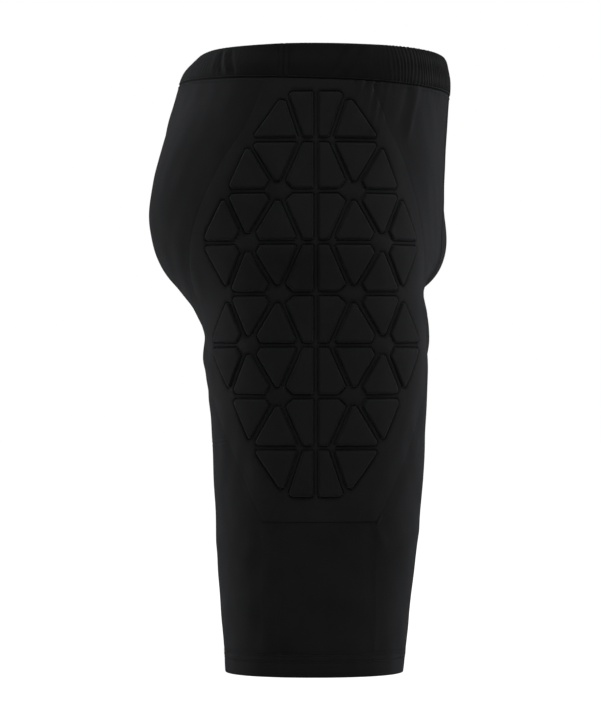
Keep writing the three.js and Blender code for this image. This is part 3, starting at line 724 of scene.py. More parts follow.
def swept(rings: Array, uv: Array, closed: bool) -> Surface:
    """A closed section carried round a ring of stations.

    Args:
        rings: corners of each station's section, of shape (stations, corners, 3).
        uv: cloth coordinates, of shape (stations, corners, 2).
        closed: whether the last station joins the first.

    Returns:
        The closed surface, with flat ends where it isn't a ring.
    """
    count, size = rings.shape[:2]
    last = count if closed else count - 1
    i, k = np.meshgrid(np.arange(last), np.arange(size), indexing="ij")
    i, k = i.ravel(), k.ravel()
    ii, kk = (i + 1) % count, (k + 1) % size
    quads = np.stack([i * size + k, ii * size + k, ii * size + kk, i * size + kk], 1)
    faces = [tuple(f) for f in quads.tolist()]
    if not closed:
        faces.append(tuple(range(size)))
        faces.append(tuple(range((count - 1) * size, count * size))[::-1])
    return Surface(rings.reshape(-1, 3), faces, uv.reshape(-1, 2)).outward()


# ---------------------------------------------------------------- the quilting

FAR = 1e6
"""Farther than anything on the flat cloth."""
TIGHT = 0.8
"""Corner radius of the lines that run deep inside a tile."""
CORNER_STEPS = 5
"""Steps that a rounded corner is drawn in."""


@dataclass
class Quilt:
    """The lattice of foam tiles, drawn flat: x from the centre line, y up from its foot."""

    top: float
    pitch: float = 41.3
    rows: int = 8
    columns: tuple[float, ...] = (11.5, 30.0, 56.0, 76.5, 102.0)
    tiles_in_row: tuple[int, ...] = (1, 2, 3, 3, 3, 3, 2, 1)
    channel: float = 3.9
    hub_cut: float = 7.5
    pinch_cut: float = 5.5
    rim_cut: float = 7.0
    cap_column: float = 25.5
    cap_cut: float = 9.0
    chamfer: float = 5.6
    rounding: float = 1.3
    hub_widening: float = 3.2
    drawn: list[Array] = field(default_factory=list)

    def node(self, c: int, k: int) -> tuple[float, float, float]:
        """Lattice point of column c in the band below row k, as (x, y, cut)."""
        row = k if (c + k) % 2 == 0 else k + 1
        x = self.cap_column if c == 2 and row in (0, self.rows) else self.columns[c - 1]
        return x, self.top - row * self.pitch, self.cut(c, row)

    def cut(self, c: int, row: int) -> float:
        """How much is cut off the tile corners at column c of a row."""
        if row in (0, self.rows):
            return self.cap_cut
        deep = min(row, self.rows - row) > 2
        if c == 2 or (c == 3 and deep):
            return self.hub_cut
        if c == 1:
            return self.pinch_cut if deep else 0.0
        return self.rim_cut

    def middle_cut(self, c: int, row: int) -> float:
        """How much is cut off the middle tiles' corners at column c of a row."""
        if c == 1:
            return 0.0
        return self.chamfer if row in (0, self.rows) else self.hub_cut

    def tiles(self) -> list[list[tuple[float, float, float]]]:
        """Lattice corners of every tile of both halves, as (x, y, cut)."""
        found = []
        for k in range(self.rows):
            y0 = self.top - k * self.pitch
            first, second = (2, 1) if k % 2 == 0 else (1, 2)
            a, b = self.node(first, k), self.node(second, k)
            low = y0 - self.pitch
            half = [[(0.0, y0, 0.0), (a[0], y0, self.middle_cut(first, k)),
                     (b[0], low, self.middle_cut(second, k + 1)), (0.0, low, 0.0)]]
            for c in range(1, self.tiles_in_row[k] + 1):
                half.append([self.node(c, k), self.node(c + 1, k), self.node(c + 2, k)])
            found += half + [[(-x, y, cut) for x, y, cut in tile] for tile in half]
        return found

    def hubs(self) -> list[tuple[float, float]]:
        """Middles of the raised patches of cloth where tile corners are cut away."""
        found = []
        for row in range(1, self.rows):
            y = self.top - row * self.pitch
            if row % 2 == 0:
                found.append((self.columns[1], y))
            elif 2 < row < self.rows - 2:
                found.append((self.columns[2], y))
        return found + [(-x, y) for x, y in found]

    def corner_cut(self, cut: float, way: Array) -> float:
        """How far from its lattice point a tile's corner is cut off, in that direction."""
        return cut + (self.hub_widening * abs(float(way[0])) if cut == self.hub_cut else 0.0)

    def outline(self, corners: Sequence[tuple[float, float, float]], inset: float) -> Array:
        """A tile's outline at a distance inside its lattice lines.

        Args:
            corners: the tile's lattice corners, as (x, y, cut).
            inset: how far inside, in millimetres.

        Returns:
            The corners of the convex outline.
        """
        ring = np.array([corner[:2] for corner in corners])
        shape = list(ring)
        for (v, _, _, n), (_, _, cut) in zip(sides_of(ring), corners):
            shape = clipped(shape, v + n * inset, n)
            if cut:
                m = unit(ring.mean(axis=0) - v)
                reach = self.corner_cut(cut, m) + inset - self.channel / 2
                shape = clipped(shape, v + m * reach, m)
        return np.array(shape)

    def shapes(self) -> list[Array]:
        """The stitch outline of every tile, before its corners are rounded."""
        if not self.drawn:
            self.drawn = [self.outline(tile, self.channel / 2) for tile in self.tiles()]
        return self.drawn

    def inside(self, at: Array) -> tuple[Array, Array]:
        """How far points are inside their nearest stitch outline.

        Args:
            at: points of shape (..., 2).

        Returns:
            The distance, negative outside, and the number of that outline.
        """
        flat = at.reshape(-1, 2)
        best = np.full(len(flat), -FAR)
        which = np.zeros(len(flat), int)
        for number, shape in enumerate(self.shapes()):
            low, high = shape.min(0) - 6, shape.max(0) + 6
            near = np.nonzero(((flat > low) & (flat < high)).all(axis=1))[0]
            depth = rounded_depth(flat[near], shape, self.rounding)
            better = depth > best[near]
            best[near[better]] = depth[better]
            which[near[better]] = number
        return best.reshape(at.shape[:-1]), which.reshape(at.shape[:-1])


def sides_of(shape: Array) -> list[tuple[Array, float, Array, Array]]:
    """The sides of a convex outline.

    Args:
        shape: its corners.

    Returns:
        Each side's start, length, unit direction and unit normal towards the middle.
    """
    middle = shape.mean(axis=0)
    sides = []
    for v, w in zip(shape, np.roll(shape, -1, axis=0)):
        length = max(float(np.linalg.norm(w - v)), 1e-9)
        way = (w - v) / length
        n = np.array([-way[1], way[0]])
        sides.append((v, length, way, n if np.dot(middle - v, n) > 0 else -n))
    return sides


def clipped(shape: list[Array], p: Array, n: Array) -> list[Array]:
    """The part of a convex outline on the inner side of a line through p with normal n."""
    kept = []
    for i, v in enumerate(shape):
        w = shape[(i + 1) % len(shape)]
        a, b = float(np.dot(v - p, n)), float(np.dot(w - p, n))
        if a >= 0:
            kept.append(v)
        if (a >= 0) != (b >= 0):
            kept.append(v + (w - v) * (a / (a - b)))
    return kept


def shrunk(shape: Array, inset: float) -> Array:
    """A convex outline moved inwards."""
    out = list(shape)
    for v, _, _, n in sides_of(shape):
        out = clipped(out, v + n * inset, n)
    return np.array(out)


def rounded_depth(at: Array, shape: Array, rounding: float) -> Array:
    """Distance inside a convex outline with rounded corners, negative outside."""
    core = shrunk(shape, rounding)
    inner = np.full(len(at), FAR)
    for v, _, _, n in sides_of(core):
        inner = np.minimum(inner, (at - v) @ n)
    outer = np.linalg.norm(at - nearest_on(core, at), axis=1)
    return rounding + np.where(inner >= 0, inner, -outer)


def rounded_line(shape: Array, rounding: float, grow: float = 0.0, count: int = 0) -> Array:
    """A closed line round a convex outline with rounded corners.

    Args:
        shape: the outline's corners.
        rounding: radius of its corners.
        grow: how far outside the outline the line runs, negative for inside.
        count: points on the line, evenly spread over the outline; 0 for the corners' own.

    Returns:
        The points.
    """
    sides = sides_of(shrunk(shape, rounding))
    foot, way = [], []
    for i, (v, _, _, n) in enumerate(sides):
        for t in evenly(CORNER_STEPS):
            foot.append(v)
            way.append(unit(lerp(-sides[i - 1][3], -n, t)))
    foot, way = np.array(foot), np.array(way)
    if count:
        line = foot + way * rounding
        line = np.concatenate([line, line[:1]])
        run = run_along(line)
        at = np.linspace(0, run[-1], count, endpoint=False)
        foot, way = (read_line(at, run, np.concatenate([v, v[:1]])) for v in (foot, way))
        way = unit(way)
    if grow < 0.5 - rounding:
        at = foot + way * rounding
        core = nearest_on(shrunk(shape, TIGHT - grow), at)
        return core + unit(at - core) * TIGHT
    return foot + way * (rounding + grow)


def nearest_on(shape: Array, at: Array) -> Array:
    """The places on a convex outline that are nearest to points."""
    best = np.full(len(at), FAR)
    found = np.zeros_like(at)
    for v, length, way, _ in sides_of(shape):
        place = v + np.clip((at - v) @ way, 0, length)[:, None] * way
        distance = np.linalg.norm(at - place, axis=1)
        found[distance < best] = place[distance < best]
        best = np.minimum(best, distance)
    return found


def within(shape: Array, at: Array) -> Array:
    """Whether points lie inside a closed line that turns one way."""
    low, high = shape.min(0), shape.max(0)
    found = ((at > low) & (at < high)).all(axis=1)
    near = np.nonzero(found)[0]
    inside = np.zeros(len(near), bool)
    for a, b in zip(shape, np.roll(shape, -1, axis=0)):
        crosses = (a[1] > at[near, 1]) != (b[1] > at[near, 1])
        rise = b[1] - a[1] if b[1] != a[1] else 1e-9
        x = a[0] + (at[near, 1] - a[1]) / rise * (b[0] - a[0])
        inside ^= crosses & (at[near, 0] < x)
    found[near] = inside
    return found


# ---------------------------------------------------------------- threads


@dataclass
class Thread:
    """Sewing thread laid along lines on the cloth, one short stitch after another."""

    radius: float = 0.34
    length: float = 1.75
    pitch: float = 2.2
    sides: int = 5

    def stitch(self) -> tuple[Array, list[tuple[int, ...]]]:
        """Models one stitch lying along X.

        Returns:
            Its vertices in millimetres and its faces.
        """
        deselect()
        bpy.ops.mesh.primitive_cylinder_add(
            vertices=self.sides,
            radius=self.radius * METRES,
            depth=self.length * 0.45 * METRES,
            rotation=(0.0, math.pi / 2, 0.0),
        )
        piece = bpy.context.object
        bpy.ops.object.transform_apply(location=False, rotation=True, scale=False)
        bpy.ops.object.mode_set(mode="EDIT")
        for end in (1, -1):
            bpy.ops.mesh.select_all(action="DESELECT")
            bpy.ops.object.mode_set(mode="OBJECT")
            for face in piece.data.polygons:
                face.select = face.normal.x * end > 0.9
            bpy.ops.object.mode_set(mode="EDIT")
            reach = self.length * 0.275 * METRES * end
            bpy.ops.mesh.extrude_region_move(TRANSFORM_OT_translate={"value": (reach, 0, 0)})
            bpy.ops.transform.resize(value=(1.0, 0.35, 0.35))
        bpy.ops.object.mode_set(mode="OBJECT")
        points = np.array([v.co[:] for v in piece.data.vertices]) / METRES
        faces = [tuple(f.vertices) for f in piece.data.polygons]
        mesh = piece.data
        bpy.data.objects.remove(piece)
        bpy.data.meshes.remove(mesh)
        bow = 1.0 - (points[:, 0] / (self.length / 2)) ** 2
        points[:, 2] += 0.8 * self.radius * (bow - 0.7)
        return points, faces

    def sew(
        self, name: str, lines: Iterable[tuple[Array, Array, bool]], sewn: bool = False
    ) -> Surface:
        """Copies the stitch along every line.

        Args:
            name: what the log calls these rows.
            lines: each line's points, outward normals, and whether it is closed.
            sewn: every second point of a line is a needle hole, so stitches lie between these.

        Returns:
            All the stitches as one surface.
        """
        points, faces = self.stitch()
        all_points, all_faces, start = [], [], 0
        for line, normals, closed in lines:
            if closed:
                line = np.concatenate([line, line[:1]])
                normals = np.concatenate([normals, normals[:1]])
            run = run_along(line)
            count = max(1, len(line) // 2 if sewn else round(run[-1] / self.pitch))
            share = run[-1] / count
            middle = (np.arange(count) + 0.5) * share
            here = read_line(middle, run, line)
            ahead, behind = (read_line(middle + k * share, run, line) for k in (0.4, -0.4))
            way = unit(ahead - behind)
            up = read_line(middle, run, normals)
            up = unit(up - (up * way).sum(-1, keepdims=True) * way)
            side = np.cross(up, way)
            basis = np.stack([way, side, up], axis=1)
            placed = here[:, None, :] + np.einsum("vk,nkx->nvx", points, basis)
            all_points.append(placed.reshape(-1, 3))
            for n in range(count):
                offset = start + n * len(points)
                all_faces += [tuple(offset + v for v in f) for f in faces]
            start += count * len(points)
        LOG.info("%s: %d stitches", name, start // len(points))
        joined = np.concatenate(all_points)
        return Surface(joined, all_faces, joined[:, [1, 2]])


# ---------------------------------------------------------------- panels on the body


@dataclass
class Laid:
    """A fine grid on the body: points, normals, arcs and heights of one panel."""

    points: Array
    normals: Array
    arc: Array
    z: Array

    @property
    def uv(self) -> Array:
        """Cloth coordinates of the grid."""
        return np.stack([self.arc, self.z], axis=-1)

    def offset(self, height: Array | float) -> Array:
        """The grid moved out along its normals."""
        return self.points + self.normals * (np.zeros(self.z.shape) + height)[..., None]


@dataclass
class Pattern:
    """Where the shorts are cut, as arcs and heights on the right half of the body."""

    body: Body
    pad_rows_height: float = 8 * 41.3
    pad_drop: float = 9.0
    apron: float = 18.0
    side_seam: float = -27.0
    hem_height: float = 20.0
    pouch_half_width: float = 46.0
    gusset_depth: float = 34.0
    gusset_tip: float = 4.0
    thigh_seam_rise: tuple[float, float] = (64.0, 52.0)
    fan_y: float = -15.0
    fan_rise: float = 22.0
    fan_front: float = math.radians(56)
    fan_back: float = math.radians(131)

    def __post_init__(self) -> None:
        """Works out the levels, the pad's edge and the inner edges of the leg panels."""
        body = self.body
        self.pad_top = body.band_bottom - self.pad_drop
        self.panel_bottom = self.pad_top - self.pad_rows_height - self.apron
        up = (0, 67, 119, 165, 225, 287, 321, 359)
        self._front = Curve(up, (51, 90, 117, 120, 112, 83, 61, 43))
        self._back = Curve(up, (44, 82, 117, 121, 113, 81, 57, 41))
        self.fan_z = body.inseam + body.seat_cup + self.fan_rise
        self.tip = self.gusset_point(np.array(self.fan_front), np.array(1.0))[0]
        share = evenly(24)
        pouch = self.pouch_point(share, -np.ones(25))
        beta = lerp(self.fan_front, math.pi / 2, evenly(10))[1:]
        front = self.gusset_point(beta, -np.ones(10))
        self._upper_front = self._edge(np.concatenate([pouch, front]), 1.0)
        self.gusset_low = float(front[-1][2])
        self.inseam_y = float(front[-1][1])
        heel = self.gusset_point(np.full(11, self.fan_back), -evenly(10))
        beta = lerp(self.fan_back, math.pi / 2, evenly(10))[1:]
        back = self.gusset_point(beta, -np.ones(10))
        self.heel_top = float(heel[0][2])
        self._heel = self._edge(np.concatenate([heel, back]), -1.0)

    def _edge(self, points: Array, sign: float) -> Callable[[Array], Array]:
        """phi of an edge by height, of one sign, from its points in order of falling height."""
        z, phi = points[::-1, 2], self.body.phi_of(points[::-1])
        phi = np.where(phi * sign < 0, phi + sign * 2 * math.pi, phi)
        return lambda at: np.interp(at, z, phi)

    def fan_way(self, beta: Array) -> Array:
        """Direction of the fan's rays, beta below straight ahead."""
        return np.stack([np.zeros_like(beta), -np.cos(beta), -np.sin(beta)], axis=-1)

    def fan_point(self, x: Array, beta: Array) -> Array:
        """Point of the body at x on the fan's ray beta."""
        x, beta = np.broadcast_arrays(np.asarray(x, float), np.asarray(beta, float))
        start = np.stack([x, np.full(x.shape, self.fan_y), np.full(x.shape, self.fan_z)], -1)
        return self.body.cast(start, self.fan_way(beta))

    def gusset_point(self, beta: Array, turn: Array) -> Array:
        """Point of the gusset at fan angle beta, from the right edge (-1) to the left (1)."""
        beta, turn = np.broadcast_arrays(np.asarray(beta, float), np.asarray(turn, float))
        along = np.minimum(1.0, (beta - self.fan_front) / (self.fan_back - self.fan_front))
        depth = self.gusset_tip + self.gusset_depth * np.sin(math.pi * along)
        way = self.fan_way(beta)
        centre = self.fan_point(np.zeros(beta.shape), beta) + way * depth[..., None]
        alpha = turn * math.pi / 2
        ray = -way * np.cos(alpha)[..., None]
        ray = ray + np.stack([np.sin(alpha), 0 * alpha, 0 * alpha], -1)
        return self.body.cast(centre, ray, entering=True, step=0.5)

    def pouch_point(self, share: Array, across: Array) -> Array:
        """Point of the pouch, from the waistband seam (0) to the gusset (1)."""
        share, across = np.broadcast_arrays(np.asarray(share, float), np.asarray(across, float))
        x = across * lerp(self.pouch_half_width, self.tip, smooth(share, 0.3, 1.0))
        low = self.fan_point(x, np.clip(share - 0.5, 0, 1) * 2 * self.fan_front)
        top = self.body.band_bottom - self.body.band_dip - self.body.band_bow
        z = lerp(top, self.fan_z, np.clip(share * 2, 0, 1))
        start = np.stack([x, np.full(x.shape, self.fan_y), z], -1)
        high = self.body.cast(start, np.array([0.0, -1.0, 0.0]))
        return np.where((share > 0.5)[..., None], low, high)

    def front_edge(self, z: Array) -> Array:
        """Arc of the pad panel's front edge."""
        return self._front(np.asarray(z, float) - self.panel_bottom)

    def back_edge(self, z: Array) -> Array:
        """Arc of the pad panel's back edge."""
        return -self._back(np.asarray(z, float) - self.panel_bottom)

    def _inseam_phi(self, z: Array) -> Array:
        """phi where the thigh faces the other one."""
        z = np.asarray(z, float)
        start = np.stack([self.body.leg_axis(z)[0], np.full(z.shape, self.inseam_y), z], -1)
        return self.body.phi_of(self.body.cast(start, np.array([1.0, 0.0, 0.0])))

    def front_inner(self, z: Array) -> Array:
        """Arc of the front panel's inner edge: pouch, gusset, then inseam."""
        z = np.asarray(z, float)
        phi = np.where(z > self.gusset_low, self._upper_front(z), self._inseam_phi(z))
        return self.body.arc_at(np.where(phi < 0, phi + 2 * math.pi, phi) - 0.003, z)

    def back_inner(self, z: Array) -> Array:
        """Arc of the back panels' inner edge: seat seam, gusset, then inseam."""
        z = np.asarray(z, float)
        start = np.stack([0 * z, 0 * z, np.maximum(z, self.heel_top)], -1)
        middle = self.body.phi_of(self.body.cast(start, np.array([0.0, 1.0, 0.0])))
        upper = np.where(z > self.heel_top, middle, self._heel(z))
        phi = np.where(z > self.gusset_low, upper, self._inseam_phi(z))
        return self.body.arc_at(np.where(phi > 0, phi - 2 * math.pi, phi) + 0.003, z)

    def thigh_seam(self, u: Array) -> Array:
        """Height of the rear-thigh seam, from the pad (0) to the inseam (1)."""
        return self.panel_bottom + lerp(*self.thigh_seam_rise, u)

    def lay(self, arc: Array, z: Array, rows: Array, columns: Array) -> Laid:
        """Lays a coarse lattice on the body and reads it finely.

        Args:
            arc: arcs of the coarse lattice.
            z: its heights.
            rows: shares of the fine rows.
            columns: shares of the fine columns.

        Returns:
            The fine grid.
        """
        return self.finer(self.body.on_side(arc, z), arc, z, rows, columns)

    def finer(self, coarse: Array, arc: Array, z: Array, rows: Array, columns: Array) -> Laid:
        """Reads a coarse lattice of points finely, with its normals."""
        normals = self.body.normal(coarse)
        data = np.concatenate([coarse, normals, arc[..., None], z[..., None]], -1)
        fine = resample(data, rows, columns)
        return Laid(fine[..., :3], unit(fine[..., 3:6]), fine[..., 6], fine[..., 7])

    def between(
        self,
        low: Callable[[Array], Array],
        high: Callable[[Array, Array], Array],
        start: Callable[[Array], Array],
        end: Callable[[Array], Array],
        rows: int,
        columns: int,
    ) -> tuple[Array, Array]:
        """Coarse lattice between two heights and two edges.

        Args:
            low: lower height by column share.
            high: upper height by point near the top and column share.
            start: arc of the first column by height.
            end: arc of the last column by height.
            rows: rows of the lattice.
            columns: columns of the lattice.

        Returns:
            Its arcs and its heights.
        """
        u = evenly(columns)
        near_top = np.full(u.shape, self.body.band_bottom)
        arc = lerp(start(near_top), end(near_top), u)
        head = high(self.body.on_side(arc, near_top), u)
        z = lerp(low(u)[None, :], head[None, :], evenly(rows)[:, None])
        return lerp(start(z), end(z), np.broadcast_to(u, z.shape)), z


@dataclass
class Fold:
    """One soft fold or hollow of the cloth, along a line on the right half of the body."""

    start: tuple[float, float]
    end: tuple[float, float]
    width: float
    height: float

    def at(self, arc: Array, z: Array) -> Array:
        """Height of the fold at places of the cloth."""
        a, b = np.array(self.start), np.array(self.end)
        way = b - a
        length = np.linalg.norm(way)
        way = way / length
        rel = np.stack([arc - a[0], z - a[1]], -1)
        along = rel @ way / length
        off = rel @ np.array([-way[1], way[0]])
        fade = smooth(along, -0.15, 0.25) * (1 - smooth(along, 0.75, 1.15))
        return self.height * fade * np.exp(-((off / self.width) ** 2))


@dataclass
class Drape:
    """Everything that makes the worn cloth uneven."""

    pattern: Pattern
    folds: tuple[Fold, ...] = (
        Fold((95, 482), (83, 434), 3.0, 1.3),
        Fold((86, 481), (74, 444), 4.5, -1.2),
        Fold((112, 300), (150, 262), 7.0, 1.3),
        Fold((120, 282), (162, 240), 6.0, -1.0),
        Fold((128, 330), (176, 300), 8.0, 1.0),
        Fold((-96, 262), (-168, 284), 8.0, -1.6),
        Fold((-92, 246), (-160, 262), 7.0, 1.2),
        Fold((-90, 216), (-150, 236), 6.0, -0.8),
        Fold((60, 96), (126, 118), 7.0, 0.9),
        Fold((-54, 92), (-118, 108), 7.0, 0.8),
        Fold((-60, 70), (-112, 62), 6.0, -0.6),
        Fold((20, 60), (74, 52), 8.0, 0.5),
        Fold((52, 120), (60, 100), 2.2, 0.9),
        Fold((47, 119), (50, 102), 2.0, -0.7),
    )
    slow_lift: float = 0.55
    quick_lift: float = 0.16
    gather_arc: float = 42.0
    gather_spread: float = 17.0
    gather_pitch: float = 8.6

    def __post_init__(self) -> None:
        """Draws the slow waves."""
        self.slow = Unevenness(11, 85.0)
        self.quick = Unevenness(12, 26.0)

    def height(self, laid: Laid) -> Array:
        """How far the cloth stands off the body."""
        total = self.slow_lift * self.slow(laid.points) + self.quick_lift * self.quick(laid.points)
        for fold in self.folds:
            total = total + fold.at(laid.arc, laid.z)
        return total + self.gathers(laid)

    def gathers(self, laid: Laid) -> Array:
        """Small gathers that hang from the waistband seam."""
        below = self.pattern.body.band_foot(laid.points) - laid.z
        near = np.exp(-(((laid.arc - self.gather_arc) / self.gather_spread) ** 2))
        fade = np.exp(-np.maximum(below, 0) / (9.0 + 16.0 * near))
        turns = (laid.arc + 0.22 * below) * 2 * math.pi / self.gather_pitch
        phase = turns + 1.1 * np.sin(laid.arc / 9.0)
        strength = 0.10 + 1.35 * near + 0.12 * (laid.arc > 70)
        return strength * fade * np.sin(phase) + 0.4 * fade


def edge_roll(points: Array, cells: Array | None = None, depth: float = 0.28) -> Array:
    """How far a panel's surface rolls in along its sewn edges.

    Args:
        points: the panel's grid.
        cells: which of its cells exist.
        depth: how deep the edge goes.

    Returns:
        The depth at each point of the grid, zero or negative.
    """
    rows, cols = points.shape[:2]
    cells = np.ones((rows - 1, cols - 1), bool) if cells is None else cells
    padded = np.pad(cells, 1)
    around = padded[:-1, :-1].astype(int) + padded[1:, :-1] + padded[:-1, 1:] + padded[1:, 1:]
    rim = points[(around > 0) & (around < 4)]
    tree = kdtree.KDTree(len(rim))
    for n, p in enumerate(rim):
        tree.insert(p, n)
    tree.balance()
    out = np.zeros((rows, cols))
    for i, j in np.ndindex(rows, cols):
        distance = tree.find(points[i, j])[2]
        if distance < 6.0:
            out[i, j] = -depth * math.exp(-((distance / 1.1) ** 1.3))
    return out


# ---------------------------------------------------------------- putting pieces on the frame


@dataclass(frozen=True)
class Cut:
    """The flat size that a piece of cloth was cut to, in millimetres."""

    width: float
    length: float
    fill: float = 1.0
    held: str = "stretched"

    def declare(self, piece: bpy.types.Object) -> None:
        """Does nothing: the cut is not recorded on the piece."""


def dress(piece: bpy.types.Object, nodes: Sequence[str] = ()) -> bpy.types.Object:
    """Puts a finished piece on the frame.

    Args:
        piece: the piece.
        nodes: the frame's nodes that it stands for.

    Returns:
        The same piece.
    """
    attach(piece, ROOT)
    if nodes:
        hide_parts(*nodes)
    area = sum(p.area for p in piece.data.polygons)
    LOG.info("%s: %d faces, %.4f m2", piece.name, len(piece.data.polygons), area)
    return piece


def both_sides(
    name: str, surface: Surface, fabrics: Sequence[Fabric], nodes: Sequence[str], cut: Cut | None
) -> None:
    """Makes a right-hand piece and its left-hand mirror image.

    Args:
        name: the pieces' name, before the side.
        surface: the right-hand surface.
        fabrics: its finishes.
        nodes: the frame's nodes that it stands for, before the side.
        cut: the flat size of the cloth, where it is a sheet.
    """
    for side in Side:
        piece = surface.on(side).make(f"{name}_{side.value}", fabrics)
        dress(piece, [f"{node}_{side.value}" for node in nodes])
        if cut:
            cut.declare(piece)


# ---------------------------------------------------------------- the quilted pad

CLOTH_SETTINGS = {
    "quality": 4,
    "mass": 0.2,
    "tension_stiffness": 12,
    "compression_stiffness": 12,
    "bending_stiffness": 0.4,
    "use_pressure": True,
    "uniform_pressure_force": 3.0,
}
"""How the pad's outer cloth behaves while it settles."""


